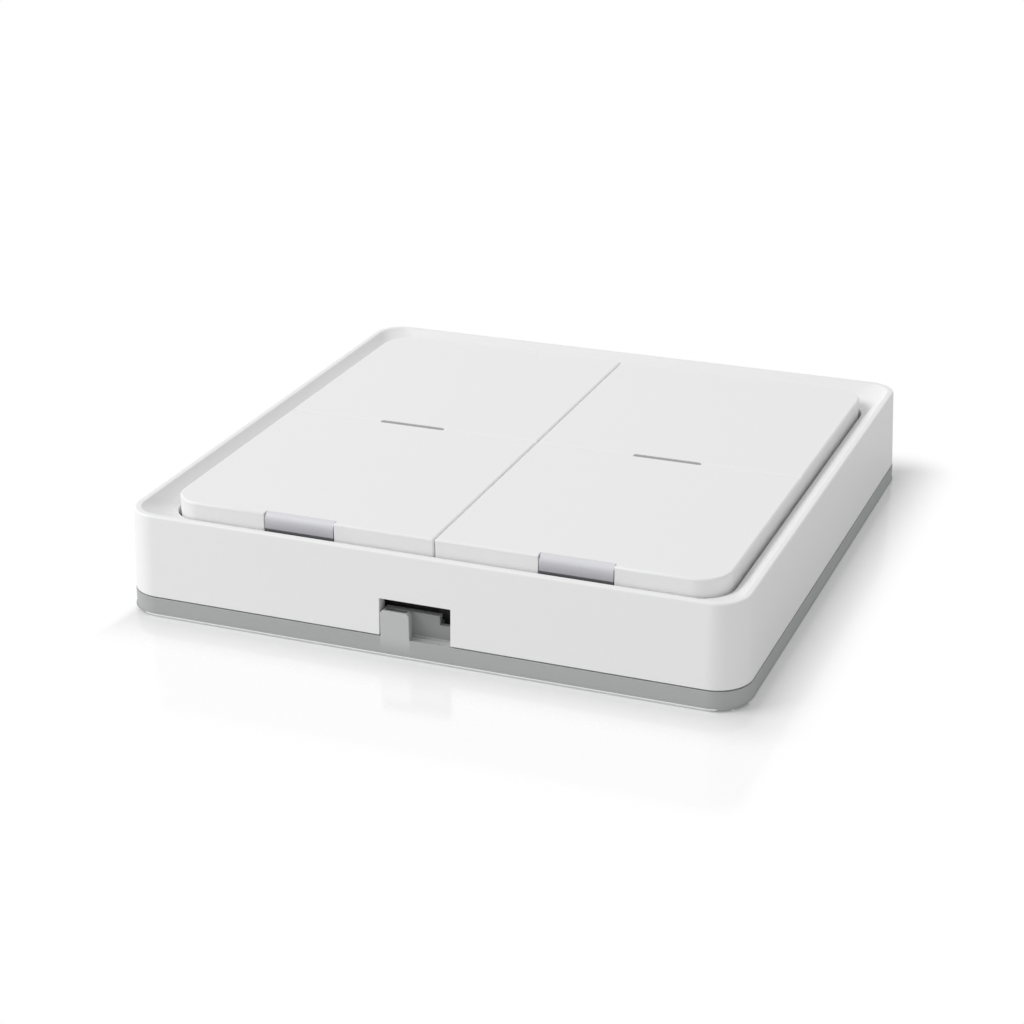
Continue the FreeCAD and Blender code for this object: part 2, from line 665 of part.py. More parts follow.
def make_front_cover():
    body = new_body("front_cover")
    foot = new_sketch(body, "cover_foot", lift=cover_foot)
    draw_rounded(foot, -foot_half_width, foot_half_width, -foot_half_depth, foot_half_depth,
                 cover_corner)
    shell = pad(body, foot, cover_top - cover_foot)
    lean = (d.cover_draft / (cover_top - cover_foot)).formula
    shell.setExpression("TaperAngle", f"-1 * atan({lean})")
    soften(body, "Fillet", d.rim_radius, lambda edge: lies_at_height(edge, cover_top))

    cavity = new_sketch(body, "cover_cavity", lift=cover_foot)
    draw_rounded(cavity, -cavity_half_width, cavity_half_width, -cavity_half_depth,
                 cavity_half_depth, upstand_corner + d.wall_clearance)
    pocket(body, cavity, cover_ceiling - cover_foot, backwards=True)

    opening = new_sketch(body, "cover_opening", lift=cover_top)
    draw_rounded(opening, -opening_half_width, opening_half_width, -opening_half_depth,
                 opening_half_depth, opening_corner)
    pocket(body, opening, cover_top - cover_ceiling)

    slope_foot = new_sketch(body, "slope_foot", lift=cover_top - d.slope_depth)
    draw_rounded(slope_foot, -opening_half_width, opening_half_width, -opening_half_depth,
                 opening_half_depth, opening_corner)
    slope_break = new_sketch(body, "slope_break", lift=cover_top - d.slope_band_depth)
    inset = d.slope_band_run
    draw_rounded(slope_break, inset - rim_half_width, rim_half_width - inset, inset - rim_half_depth,
                 rim_half_depth - inset, d.slope_band_corner)
    slope_top = new_sketch(body, "slope_top", lift=cover_top)
    draw_rounded(slope_top, -rim_half_width, rim_half_width, -rim_half_depth, rim_half_depth,
                 d.rim_corner)
    slope = body.newObject("PartDesign::SubtractiveLoft", "opening_slope")
    slope.Profile = slope_foot
    slope.Sections = [slope_break, slope_top]
    slope.Ruled = True
    soften(body, "Fillet", d.rim_inner_radius,
           lambda edge: lies_at_height(edge, cover_top) and lies_within(edge, rim_half_width))

    notch = new_sketch(body, "pry_notch", "XZ_Plane", lift=half_depth)
    draw_rectangle(notch, d.notch_shift - d.notch_width / 2, d.notch_shift + d.notch_width / 2,
                   d.plate_floor, d.notch_top)
    pocket(body, notch, half_depth - cavity_half_depth + d.wall_clearance)

    cut_catch_pockets(body, "plate_catch", d.plate_catch_bottom, "sides")
    cut_catch_pockets(body, "chassis_catch", chassis_catch_bottom, "ends")
    return body


def cut_catch_pockets(body, name, bottom, walls):
    """Four shallow pockets inside the side walls, or inside the end walls, for snap catches."""
    gap = d.catch_clearance
    sketch = new_sketch(body, name, lift=bottom - gap)
    half_length = d.catch_length / 2 + gap
    reach = d.catch_reach - d.wall_clearance + gap
    for _, side in SIDES:
        for _, end in ENDS:
            if walls == "sides":
                left, right = span(side, cavity_half_width - d.wall_clearance,
                                   cavity_half_width + reach)
                middle = end * d.catch_place
                draw_rectangle(sketch, left, right, middle - half_length, middle + half_length)
            else:
                front, back = span(end, cavity_half_depth - d.wall_clearance,
                                   cavity_half_depth + reach)
                middle = side * d.catch_place
                draw_rectangle(sketch, middle - half_length, middle + half_length, front, back)
    pocket(body, sketch, d.catch_height + gap * 2, backwards=True)


# Chassis: the carrier between board and rockers, with the pivot ears and screw bosses


def make_chassis():
    body = new_body("chassis")
    outline = new_sketch(body, "chassis_outline", lift=chassis_bottom)
    draw_rounded(outline, -upstand_half_width, upstand_half_width, -upstand_half_depth,
                 upstand_half_depth, upstand_corner)
    pad(body, outline, cover_ceiling - chassis_bottom)
    tray = new_sketch(body, "chassis_tray", lift=cover_ceiling)
    tray_width = upstand_half_width - d.chassis_wall
    tray_depth = upstand_half_depth - d.chassis_wall
    draw_rounded(tray, -tray_width, tray_width, -tray_depth, tray_depth,
                 upstand_corner - d.chassis_wall)
    pocket(body, tray, cover_ceiling - chassis_top)

    catches = new_sketch(body, "chassis_catches", lift=chassis_catch_bottom)
    for _, side in SIDES:
        middle = side * d.catch_place
        for _, end in ENDS:
            front, back = span(end, upstand_half_depth - d.chassis_wall / 2,
                               upstand_half_depth + d.catch_reach)
            draw_rectangle(catches, middle - d.catch_length / 2, middle + d.catch_length / 2,
                           front, back)
    pad(body, catches, d.catch_height)

    bosses = new_sketch(body, "chassis_bosses", lift=board_top)
    for across, along in SCREW_PLACES:
        draw_circle(bosses, across, along, d.boss_radius)
    pad(body, bosses, screw_tip + d.boss_cap - board_top)

    for number, (near, far) in enumerate(ear_stretches()):
        for name, side in SIDES:
            left, right = span(side, near, far)
            ear = new_sketch(body, f"{name}_ear_{number}", "YZ_Plane", lift=left)
            draw_rounded(ear, -d.ear_length / 2, d.ear_length / 2,
                         chassis_top - d.chassis_floor / 2, ear_top, d.ear_rounding)
            draw_circle(ear, ZERO, pivot_height, d.pin_radius + d.pin_clearance)
            pad(body, ear, right - left)

    pilots = new_sketch(body, "chassis_pilots", lift=board_top)
    for across, along in SCREW_PLACES:
        draw_circle(pilots, across, along, d.screw_radius)
    pocket(body, pilots, screw_tip - board_top, backwards=True)

    windows = new_sketch(body, "chassis_windows", lift=chassis_top)
    switch_half = d.switch_side / 2 + d.switch_window_gap
    for _, side in SIDES:
        across = side * rocker_middle
        for _, end in ENDS:
            along = end * key_place
            draw_rectangle(windows, across - switch_half, across + switch_half,
                           along - switch_half, along + switch_half)
        led_half_x = d.led_length / 2 + d.led_window_gap
        led_half_y = d.led_width / 2 + d.led_window_gap
        draw_rectangle(windows, across - led_half_x, across + led_half_x,
                       -led_place - led_half_y, -led_place + led_half_y)
    pocket(body, windows, d.chassis_floor)
    return body


def ear_stretches():
    """Where the two pivot ears of one rocker stand, from the middle outwards."""
    near = rocker_inner + d.ear_inset
    far = rocker_outer - d.ear_inset
    return [(near, near + d.ear_thickness), (far - d.ear_thickness, far)]


# Rockers: a face with a skirt, a groove and an inlaid tick across it, and a window for the light


def make_rocker(name, side):
    body = new_body(f"{name}_rocker")
    left, right = span(side, rocker_inner, rocker_outer)
    face = new_sketch(body, f"{name}_rocker_outline", lift=rocker_bottom)
    draw_rocker_outline(face, side, ZERO)
    pad(body, face, rocker_top - rocker_bottom)
    outer = rocker_outer.number * side
    inner = rocker_inner.number * side
    soften(body, "Fillet", d.rocker_rounding,
           lambda edge: lies_at_height(edge, rocker_top) and not lies_along(edge, inner))
    soften(body, "Fillet", d.rocker_split_rounding,
           lambda edge: lies_at_height(edge, rocker_top) and lies_along(edge, inner))

    hollow = new_sketch(body, f"{name}_rocker_hollow", lift=rocker_bottom)
    draw_rocker_outline(hollow, side, d.rocker_skirt)
    pocket(body, hollow, rocker_underside - rocker_bottom, backwards=True)

    add_pivots(body, name, side)

    nubs = new_sketch(body, f"{name}_nubs", lift=rocker_underside)
    for _, end in ENDS:
        draw_circle(nubs, side * rocker_middle, end * key_place, d.nub_radius)
    pad(body, nubs, rocker_underside - key_top - d.nub_gap, backwards=True)

    groove = new_sketch(body, f"{name}_groove", "YZ_Plane", lift=right + d.rocker_side_gap)
    draw_outline(groove, [
        (-d.groove_width / 2, rocker_top), (ZERO, rocker_top - d.groove_depth),
        (d.groove_width / 2, rocker_top), (d.groove_width / 2, rocker_top + d.groove_depth),
        (-d.groove_width / 2, rocker_top + d.groove_depth)])
    pocket(body, groove, right - left + d.rocker_side_gap * 2)

    tick = new_sketch(body, f"{name}_tick_slot", lift=rocker_top)
    draw_slot(tick, side * rocker_middle, ZERO, d.tick_length, d.tick_width)
    pocket(body, tick, d.tick_depth)

    half = d.window_width / 2 + d.window_gap
    outside = -guide_front - d.rocker_end_gap
    window = new_sketch(body, f"{name}_window", lift=rocker_top)
    draw_rectangle(window, side * rocker_middle - half, side * rocker_middle + half, outside,
                   d.window_gap - guide_back)
    pocket(body, window, d.rocker_face)
    doorway = new_sketch(body, f"{name}_skirt_doorway", lift=rocker_underside)
    draw_rectangle(doorway, side * rocker_middle - half, side * rocker_middle + half, outside,
                   d.rocker_skirt + d.window_gap - rocker_half_depth)
    pocket(body, doorway, rocker_underside - rocker_bottom)
    return body


def lies_along(edge, x):
    box = edge.BoundBox
    return box.XLength < 1e-4 and abs(box.XMin - x) < 1e-4


def draw_rocker_outline(sketch, side, inset):
    """The rocker in plan, in by `inset`: round corners outside, square ones where the two meet."""
    left, right = span(side, rocker_inner + inset, rocker_outer - inset)
    front = inset - rocker_half_depth
    back = rocker_half_depth - inset
    corner = d.rocker_corner - inset
    x0, x1, y0, y1, r = (n.number for n in (left, right, front, back, corner))
    first = sketch.GeometryCount
    if side > 0:
        pieces = [line(x0, y0, x1 - r, y0), arc(x1 - r, y0 + r, r, -90, 0),
                  line(x1, y0 + r, x1, y1 - r), arc(x1 - r, y1 - r, r, 0, 90),
                  line(x1 - r, y1, x0, y1), line(x0, y1, x0, y0)]
    else:
        pieces = [line(x1, y1, x0 + r, y1), arc(x0 + r, y1 - r, r, 90, 180),
                  line(x0, y1 - r, x0, y0 + r), arc(x0 + r, y0 + r, r, 180, 270),
                  line(x0 + r, y0, x1, y0), line(x1, y0, x1, y1)]
    for piece in pieces:
        sketch.addGeometry(piece)
    for step in range(4):
        sketch.addConstraint(Sketcher.Constraint("Tangent", first + step, 2, first + step + 1, 1))
    for step in (4, 5):
        following = first + (step + 1) % 6
        sketch.addConstraint(Sketcher.Constraint("Coincident", first + step, 2, following, 1))
    for step, direction in ((0, "Horizontal"), (2, "Vertical"), (4, "Horizontal"), (5, "Vertical")):
        sketch.addConstraint(Sketcher.Constraint(direction, first + step))
    sketch.addConstraint(Sketcher.Constraint("Equal", first + 1, first + 3))
    start, finish = (front, back) if side > 0 else (back, front)
    split, outside = (left, right) if side > 0 else (right, left)
    hold_point(sketch, first, 1, split, start)
    hold(sketch, "DistanceX", (-1, 1, first + 2, 1), outside)
    hold(sketch, "DistanceY", (-1, 1, first + 4, 1), finish)
    hold(sketch, "Radius", (first + 1,), corner)


def add_pivots(body, name, side):
    """Two ribs under the face, each with a pin that runs in its chassis ear."""
    (inner_near, inner_far), (outer_near, outer_far) = ear_stretches()
    ribs = [(inner_far + d.ear_gap, inner_far + d.ear_gap + d.rib_thickness),
            (outer_near - d.ear_gap - d.rib_thickness, outer_near - d.ear_gap)]
    pins = [(inner_near, ribs[0][0]), (ribs[1][1], outer_far)]
    for number, (near, far) in enumerate(ribs):
        left, right = span(side, near, far)
        rib = new_sketch(body, f"{name}_rib_{number}", "YZ_Plane", lift=left)
        draw_rectangle(rib, -d.ear_length / 2, d.ear_length / 2, chassis_top + d.rib_clearance,
                       rocker_underside)
        pad(body, rib, right - left)
    for number, (near, far) in enumerate(pins):
        left, right = span(side, near, far)
        pin = new_sketch(body, f"{name}_pin_{number}", "YZ_Plane", lift=left)
        draw_circle(pin, ZERO, pivot_height, d.pin_radius)
        pad(body, pin, right - left)


def make_tick_inlay(name, side):
    body = new_body(f"{name}_tick_inlay")
    sketch = new_sketch(body, f"{name}_tick", lift=rocker_top - d.tick_depth)
    draw_slot(sketch, side * rocker_middle, ZERO, d.tick_length, d.tick_width)
    pad(body, sketch, d.tick_depth - d.groove_depth)
    return body


def make_light_guide(name, side):
    """A clear moulding: a round-edged lens in the rocker's window, an arm, and a foot over the LED."""
    body = new_body(f"{name}_light_guide")
    middle = side * rocker_middle
    lens = new_sketch(body, f"{name}_lens", "YZ_Plane", lift=middle - d.window_width / 2)
    draw_rectangle(lens, -guide_front, -guide_back, rocker_top - d.guide_height, rocker_top)
    pad(body, lens, d.window_width)
    soften(body, "Fillet", d.window_depth - d.lens_land, is_lens_edge)
    arm = new_sketch(body, f"{name}_arm", "YZ_Plane", lift=middle - d.guide_arm_width / 2)
    foot_back = led_place - d.guide_foot / 2
    foot_front = led_place + d.guide_foot / 2
    draw_outline(arm, [
        (-guide_back, rocker_underside), (-foot_back, rocker_underside),
        (-foot_back, rocker_underside - d.guide_foot_height),
        (-foot_front, rocker_underside - d.guide_foot_height),
        (-foot_front, rocker_underside - d.guide_arm),
        (-guide_back, rocker_underside - d.guide_arm)])
    pad(body, arm, d.guide_arm_width)
    return body


def is_lens_edge(edge):
    box = edge.BoundBox
    return (box.XLength > 1 and abs(box.YMin + guide_front.number) < 1e-4
            and abs(box.ZMax - rocker_top.number) < 1e-4 and box.YLength < 1e-4)


# Rear cover: the tray behind the board, with the battery opening and two wells for wall screws


def make_rear_cover():
    body = new_body("rear_cover")
    outline = new_sketch(body, "rear_outline", lift=rear_cover_bottom)
    draw_rounded(outline, -rear_half_width, rear_half_width, -rear_half_depth, rear_half_depth,
                 d.rear_cover_corner)
    pad(body, outline, chassis_bottom - rear_cover_bottom)
    tray = new_sketch(body, "rear_tray", lift=chassis_bottom)
    tray_width = rear_half_width - d.rear_cover_wall
    tray_depth = rear_half_depth - d.rear_cover_wall
    draw_rounded(tray, -tray_width, tray_width, -tray_depth, tray_depth, d.board_corner)
    pocket(body, tray, chassis_bottom - rear_cover_floor_top)

    raised = new_sketch(body, "rear_bosses", lift=rear_cover_floor_top)
    for across, along in SCREW_PLACES:
        draw_circle(raised, across, along, d.rear_boss_radius)
    pad(body, raised, d.board_standoff)
    heads = new_sketch(body, "rear_head_recesses", lift=rear_cover_bottom)
    shanks = new_sketch(body, "rear_shank_holes", lift=screw_seat)
    for across, along in SCREW_PLACES:
        draw_circle(heads, across, along, d.screw_head_radius + d.screw_hole_gap)
        draw_circle(shanks, across, along, d.screw_radius + d.screw_hole_gap)
    pocket(body, heads, screw_seat - rear_cover_bottom, backwards=True)
    pocket(body, shanks, board_bottom - screw_seat, backwards=True)

    wells = new_sketch(body, "rear_wells", lift=rear_cover_floor_top)
    hollows = new_sketch(body, "rear_well_hollows", lift=rear_cover_bottom)
    for _, side in SIDES:
        for sketch, grow in ((wells, d.well_wall), (hollows, ZERO)):
            left, right = span(side, d.slot_spacing / 2 - d.well_reach - grow, tray_width)
            half_y = d.well_width / 2 + grow
            draw_rounded(sketch, left, right, -half_y, half_y, d.well_corner)
    pad(body, wells, rear_cover_bottom + d.well_height + d.well_wall - rear_cover_floor_top)
    pocket(body, hollows, d.well_height, backwards=True)

    openings = new_sketch(body, "rear_openings", lift=rear_cover_floor_top)
    draw_circle(openings, ZERO, d.cell_place, d.door_radius + d.door_gap)
    draw_circle(openings, pair_across, pair_along, d.pair_radius + d.pair_hole_gap)
    pocket(body, openings, d.rear_cover_floor)
    for number in range(DOOR_LUGS):
        turn = DOOR_TURN + number * 360.0 / DOOR_LUGS
        entry = new_sketch(body, f"lug_entry_{number}", lift=rear_cover_floor_top,
                           aside=(ZERO, d.cell_place), turn=turn)
        half = d.lug_width / 2 + d.lug_slot_gap
        draw_rectangle(entry, -half, half, d.door_radius - d.door_gap,
                       d.door_radius + d.lug_reach + d.lug_slot_gap)
        pocket(body, entry, d.rear_cover_floor)
    return body


# Battery door: a disc with a coin slot and three lugs that turn under the rear cover's edge


def make_battery_door():
    body = new_body("battery_door")
    place(body, ZERO, d.cell_place, rear_cover_bottom)
    disc = new_sketch(body, "door_disc")
    draw_circle(disc, ZERO, ZERO, d.door_radius)
    pad(body, disc, d.rear_cover_floor)
    rim = new_sketch(body, "door_rim", lift=d.rear_cover_floor)
    draw_circle(rim, ZERO, ZERO, d.door_radius)
    draw_circle(rim, ZERO, ZERO, d.door_radius - d.door_rim)
    pad(body, rim, d.door_rim_height)
    for number in range(DOOR_LUGS):
        lug = new_sketch(body, f"door_lug_{number}", lift=d.rear_cover_floor + d.lug_lift,
                         turn=number * 360.0 / DOOR_LUGS)
        draw_rectangle(lug, -d.lug_width / 2, d.lug_width / 2, d.door_radius - d.door_rim / 2,
                       d.door_radius + d.lug_reach)
        pad(body, lug, d.door_rim_height - d.lug_lift)
    coin_slot = new_sketch(body, "door_coin_slot")
    draw_slot(coin_slot, ZERO, ZERO, d.coin_slot_length, d.coin_slot_width)
    pocket(body, coin_slot, d.coin_slot_depth, backwards=True)
    return body


# Circuit board and the parts soldered to it


def make_circuit_board():
    body = new_body("circuit_board")
    outline = new_sketch(body, "board_outline", lift=board_bottom)
    draw_rounded(outline, -board_half_width, board_half_width, -board_half_depth,
                 board_half_depth, d.board_corner)
    pad(body, outline, d.board_thickness)
    holes = new_sketch(body, "board_holes", lift=board_top)
    for across, along in SCREW_PLACES:
        draw_circle(holes, across, along, d.screw_radius + d.screw_hole_gap)
    pocket(body, holes, d.board_thickness)
    return body


def make_push_switch(end_name, end, side_name, side):
    """A push switch on the board's face: its moulded body and the round button in it."""
    name = f"{end_name}_{side_name}"
    x = side * rocker_middle
    y = end * key_place
    top = board_top + d.switch_height
    housing = centred_block(f"{name}_housing", x, y, d.switch_side, d.switch_side, board_top, top)
    bore = rod(f"{name}_bore", x, y, board_top + d.button_floor, top,
               d.button_radius + d.button_clearance)
    body = cut(f"{name}_switch_body", housing, bore)
    bottom = board_top + d.button_floor + d.button_travel + d.button_clearance
    stem = rod(f"{name}_stem", x, y, bottom, key_top, d.button_radius)
    button = chamfered(f"{name}_switch_button", stem, d.button_chamfer,
                       lambda edge: lies_at_height(edge, key_top))
    plate = centred_block(f"{name}_metal", x, y, d.switch_side, d.switch_side, top,
                          top + d.switch_plate)
    hole = rod(f"{name}_metal_hole", x, y, top, top + d.switch_plate,
               d.button_radius + d.button_clearance)
    return body, button, cut(f"{name}_metal_cover", plate, hole)


def make_led(name, side):
    blank = centred_block(f"{name}_led_blank", side * rocker_middle, -led_place, d.led_length,
                          d.led_width, board_top, board_top + d.led_height)
    top = board_top + d.led_height
    return chamfered(f"{name}_indicator_led", blank, d.led_chamfer,
                     lambda edge: lies_at_height(edge, top))


def make_coin_cell():
    shoulder = cell_top - d.cell_cap_height
    can = rod("cell_can", ZERO, d.cell_place, cell_bottom, shoulder, cell_radius)
    cap = rod("cell_cap", ZERO, d.cell_place, shoulder, cell_top, cell_radius - d.cell_crimp)
    return fuse("coin_cell", can, cap)


def make_battery_holder():
    bottom = board_bottom - d.holder_height
    bore_radius = cell_radius + d.holder_gap
    outer_radius = bore_radius + d.holder_wall
    ring = rod("holder_ring", ZERO, d.cell_place, bottom, board_bottom, outer_radius)
    bore = rod("holder_bore", ZERO, d.cell_place, bottom, board_bottom, bore_radius)
    half = d.contact_width / 2 + d.contact_slot_gap
    gap = block("holder_contact_gap", -half, half,
                d.cell_place - outer_radius - d.contact_slot_gap, d.cell_place, bottom,
                board_bottom)
    return cut("battery_holder", cut("holder_open_ring", ring, bore), gap)


def make_negative_contact():
    """A sprung strip, soldered at both ends, that dips to touch the cell's cap."""
    body = new_body("negative_contact")
    strip = new_sketch(body, "negative_strip", "XZ_Plane",
                       lift=-d.cell_place - d.contact_width / 2)
    bend = d.contact_foot
    end = d.contact_foot * 2
    soldered = board_bottom
    under = board_bottom - d.contact_thickness
    draw_outline(strip, [
        (-end, under), (-bend, under), (ZERO, cell_top), (bend, under), (end, under),
        (end, soldered), (bend, soldered), (ZERO, cell_top + d.contact_thickness),
        (-bend, soldered), (-end, soldered)])
    pad(body, strip, d.contact_width)
    return body


def make_positive_contact():
    """An angled strip in the holder's gap: a soldered foot, and a blade against the cell's side."""
    body = new_body("positive_contact")
    strip = new_sketch(body, "positive_strip", "YZ_Plane", lift=-d.contact_width / 2)
    blade = d.cell_place - cell_radius
    thickness = d.contact_thickness
    low = board_bottom - d.holder_height
    draw_outline(strip, [
        (blade, board_bottom), (blade - d.contact_foot, board_bottom),
        (blade - d.contact_foot, board_bottom - thickness),
        (blade - thickness, board_bottom - thickness), (blade - thickness, low), (blade, low)])
    pad(body, strip, d.contact_width)
    return body


def make_radio():
    x = radio_place
    y = d.radio_from_front - board_half_depth
    bottom = board_bottom - d.radio_thickness
    board = centred_block("radio_board", x, y, d.radio_width, d.radio_length, bottom,
                          board_bottom)
    board.Label = "radio_board"
    middle = y + d.radio_length / 2 - d.antenna_end - d.shield_length / 2
    can = centred_block("shield_blank", x, middle, d.shield_width, d.shield_length,
                        bottom - d.shield_height, bottom)
    inside = centred_block("shield_inside", x, middle, d.shield_width - d.shield_wall * 2,
                           d.shield_length - d.shield_wall * 2,
                           bottom - d.shield_height + d.shield_wall, bottom)
    return board, cut("radio_shield", can, inside)


def make_pairing_switch():
    x, y = pair_across, pair_along
    tip = rear_cover_bottom + d.pair_tip_depth
    bottom = board_bottom - d.pair_height
    housing = centred_block("pairing_housing", x, y, d.pair_side, d.pair_side, bottom, board_bottom)
    depth = d.pair_engagement + d.pair_travel + d.button_clearance
    bore = rod("pairing_bore", x, y, bottom, bottom + depth, d.pair_radius + d.button_clearance)
    stem = rod("pairing_stem", x, y, tip, bottom + d.pair_engagement, d.pair_radius)
    button = chamfered("pairing_button", stem, d.button_chamfer,
                       lambda edge: lies_at_height(edge, tip))
    return cut("pairing_switch_body", housing, bore), button


def make_board_parts():
    crystal = centred_block("crystal", radio_place + d.crystal_from_radio,
                            d.crystal_from_front - board_half_depth, d.crystal_length,
                            d.crystal_width, board_bottom - d.crystal_height, board_bottom)
    crystal.Label = "crystal"
    capacitor = centred_block("bulk_capacitor", ZERO, d.capacitor_from_front - board_half_depth,
                              d.capacitor_length, d.capacitor_width,
                              board_bottom - d.capacitor_height, board_bottom)
    capacitor.Label = "bulk_capacitor"
    chips = []
    for row in range(CHIP_ROWS):
        y = d.chips_from_front - board_half_depth + row * d.chip_row_pitch
        for column in range(CHIPS_PER_ROW):
            x = (column + 1) * d.chip_pitch
            chips.append(centred_block(f"chip_{row}_{column}", x, y, d.chip_length, d.chip_width,
                                       board_bottom - d.chip_height, board_bottom))
    return crystal, capacitor, gather("chip_parts", chips)


def make_case_screws():
    """Four self-tapping screws, heads towards the wall, with a cross cut in each."""
    screws = []
    head_bottom = screw_seat - d.screw_head
    for number, (x, y) in enumerate(SCREW_PLACES):
        head = rod(f"screw_head_{number}", x, y, head_bottom, screw_seat, d.screw_head_radius)
        shank = rod(f"screw_shank_{number}", x, y, screw_seat, screw_tip, d.screw_radius)
        blank = fuse(f"screw_blank_{number}", head, shank)
        arms = ((d.cross_length, d.cross_width), (d.cross_width, d.cross_length))
        bars = [centred_block(f"screw_bar_{number}_{turn}", x, y, width, depth, head_bottom,
                              head_bottom + d.cross_depth)
                for turn, (width, depth) in enumerate(arms)]
        screws.append(cut(f"screw_{number}", blank, fuse(f"screw_cross_{number}", *bars)))
    return gather("case_screws", screws)


# The whole switch


def make_switch():
    parts = [make_wall_plate(), make_front_cover(), make_chassis(), make_rear_cover(),
             make_battery_door(), make_circuit_board()]
    for name, side in SIDES:
        parts += [make_rocker(name, side), make_tick_inlay(name, side),
                  make_light_guide(name, side), make_led(name, side)]
    metal_covers = []
    for end_name, end in ENDS:
        for side_name, side in SIDES:
            body, button, metal = make_push_switch(end_name, end, side_name, side)
            parts += [body, button]
            metal_covers.append(metal)
    parts.append(gather("switch_metal_covers", metal_covers))
    parts += [make_coin_cell(), make_battery_holder(), make_negative_contact(),
              make_positive_contact(), *make_radio(), *make_pairing_switch(), *make_board_parts(),
              make_case_screws()]
    doc.recompute()
    return parts


def check(parts):
    if failures():
        raise RuntimeError(f"failed: {failures()}")
    for part in parts:
        if part.Shape.isNull() or not part.Shape.isValid() or not part.Shape.Solids:
            raise RuntimeError(f"{part.Label} has no sound solid")


def export(parts):
    os.makedirs("parts", exist_ok=True)
    for part in parts:
        part.Shape.exportStep(f"parts/{part.Label}.step")
        print(f"{part.Label}: {len(part.Shape.Solids)} solid(s), {part.Shape.Volume:.1f} mm3")


switch_parts = make_switch()
check(switch_parts)
export(switch_parts)
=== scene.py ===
import json
import math

import bmesh
import bpy
from mathutils import Matrix, Vector


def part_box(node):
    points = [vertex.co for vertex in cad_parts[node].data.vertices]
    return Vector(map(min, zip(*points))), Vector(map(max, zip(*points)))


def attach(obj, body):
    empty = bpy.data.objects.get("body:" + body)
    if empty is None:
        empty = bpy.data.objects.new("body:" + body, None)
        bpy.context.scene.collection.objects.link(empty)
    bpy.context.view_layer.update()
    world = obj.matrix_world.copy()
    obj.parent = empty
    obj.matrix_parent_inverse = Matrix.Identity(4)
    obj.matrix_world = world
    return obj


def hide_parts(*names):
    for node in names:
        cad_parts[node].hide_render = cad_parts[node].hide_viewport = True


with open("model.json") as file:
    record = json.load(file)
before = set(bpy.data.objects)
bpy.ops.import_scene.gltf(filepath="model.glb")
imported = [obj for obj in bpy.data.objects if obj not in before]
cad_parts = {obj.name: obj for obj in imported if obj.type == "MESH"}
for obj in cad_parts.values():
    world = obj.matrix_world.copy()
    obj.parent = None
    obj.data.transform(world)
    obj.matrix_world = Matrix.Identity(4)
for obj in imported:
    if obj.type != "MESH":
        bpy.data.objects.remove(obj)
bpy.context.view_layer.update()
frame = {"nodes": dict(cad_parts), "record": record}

# The wall plate: one grey ABS moulding that screws or sticks to the wall. Its rim is the grey band
# under the white cover, with a lip round its foot that is painted pale as a painted highlight. Its
# pry tab stands in the notch, its face painted paler as painted light, and the walls of its pocket
# are painted darker as painted shade. Fine ribs in the two shallow recesses behind it give adhesive
# pads their grip.

MM = 0.001
GREY = (0.450, 0.462, 0.458)
GREY_DARKER = (0.430, 0.442, 0.438)
# Painted highlight: the lip's pale tone stands in for the light line along the plate's foot.
GREY_LIP_HIGHLIGHT = (0.85, 0.86, 0.86)
# Painted light: the pry tab's face is painted paler than the band beside it.
GREY_TAB_LIGHT = (0.545, 0.560, 0.556)
# Painted shade: the walls inside the notch's pocket are painted darker.
GREY_POCKET_SHADE = (0.300, 0.308, 0.305)
LIP_TOP = 0.42 * MM
LIP_REACH = 0.3 * MM
TAB_LEFT = -5.2 * MM
TAB_RIGHT = -1.1 * MM
TAB_FACE = 0.3 * MM
TAB_PALE = 3.0 * MM
POCKET_START = 0.6 * MM
POCKET_END = 1.5 * MM
FINE_GRAIN = 1 / (0.28 * MM)
GRAIN_DEPTH = 0.006 * MM
SLOW_DRIFT = 38.0
DRIFT_IN_TONE = 0.7
DRIFT_IN_SHEEN = 0.10
GRAIN_IN_SHEEN = 0.12
PLASTIC_IOR = 1.46
DULL_FACE = {"IOR": 1.3, "Specular IOR Level": 0.2}
SHARP = math.radians(30)
FLAT = math.radians(0.5)
SAME_PLACE = 0.0001 * MM
EDGE_STEPS = 3

BODY_OF = {node: body for body, nodes in frame["record"]["behaviour"]["bodies"].items()
           for node in nodes}
SLOT_OF = {row["node"]: row["material_slot"] for row in frame["record"]["subparts"]}


class Value:
    """One output socket of a node tree. Sums on it add Math nodes to the same tree."""

    def __init__(self, nodes, socket):
        self.nodes = nodes
        self.socket = socket

    def maths(self, operation, *others):
        return self.nodes.add("ShaderNodeMath", {"operation": operation}, (self, *others))

    def __add__(self, other):
        return self.maths("ADD", other)

    def __sub__(self, other):
        return self.maths("SUBTRACT", other)

    def __rsub__(self, other):
        return self.nodes.add("ShaderNodeMath", {"operation": "SUBTRACT"}, (other, self))

    def __mul__(self, other):
        return self.maths("MULTIPLY", other)

    def __truediv__(self, other):
        return self.maths("DIVIDE", other)

    def __floordiv__(self, other):
        return math.floor(self / other)

    def __mod__(self, other):
        return self.maths("MODULO", other)

    def __gt__(self, other):
        return self.maths("GREATER_THAN", other)

    def __lt__(self, other):
        return self.maths("LESS_THAN", other)

    def __abs__(self):
        return self.maths("ABSOLUTE")

    def __floor__(self):
        return self.maths("FLOOR")

    __radd__ = __add__
    __rmul__ = __mul__


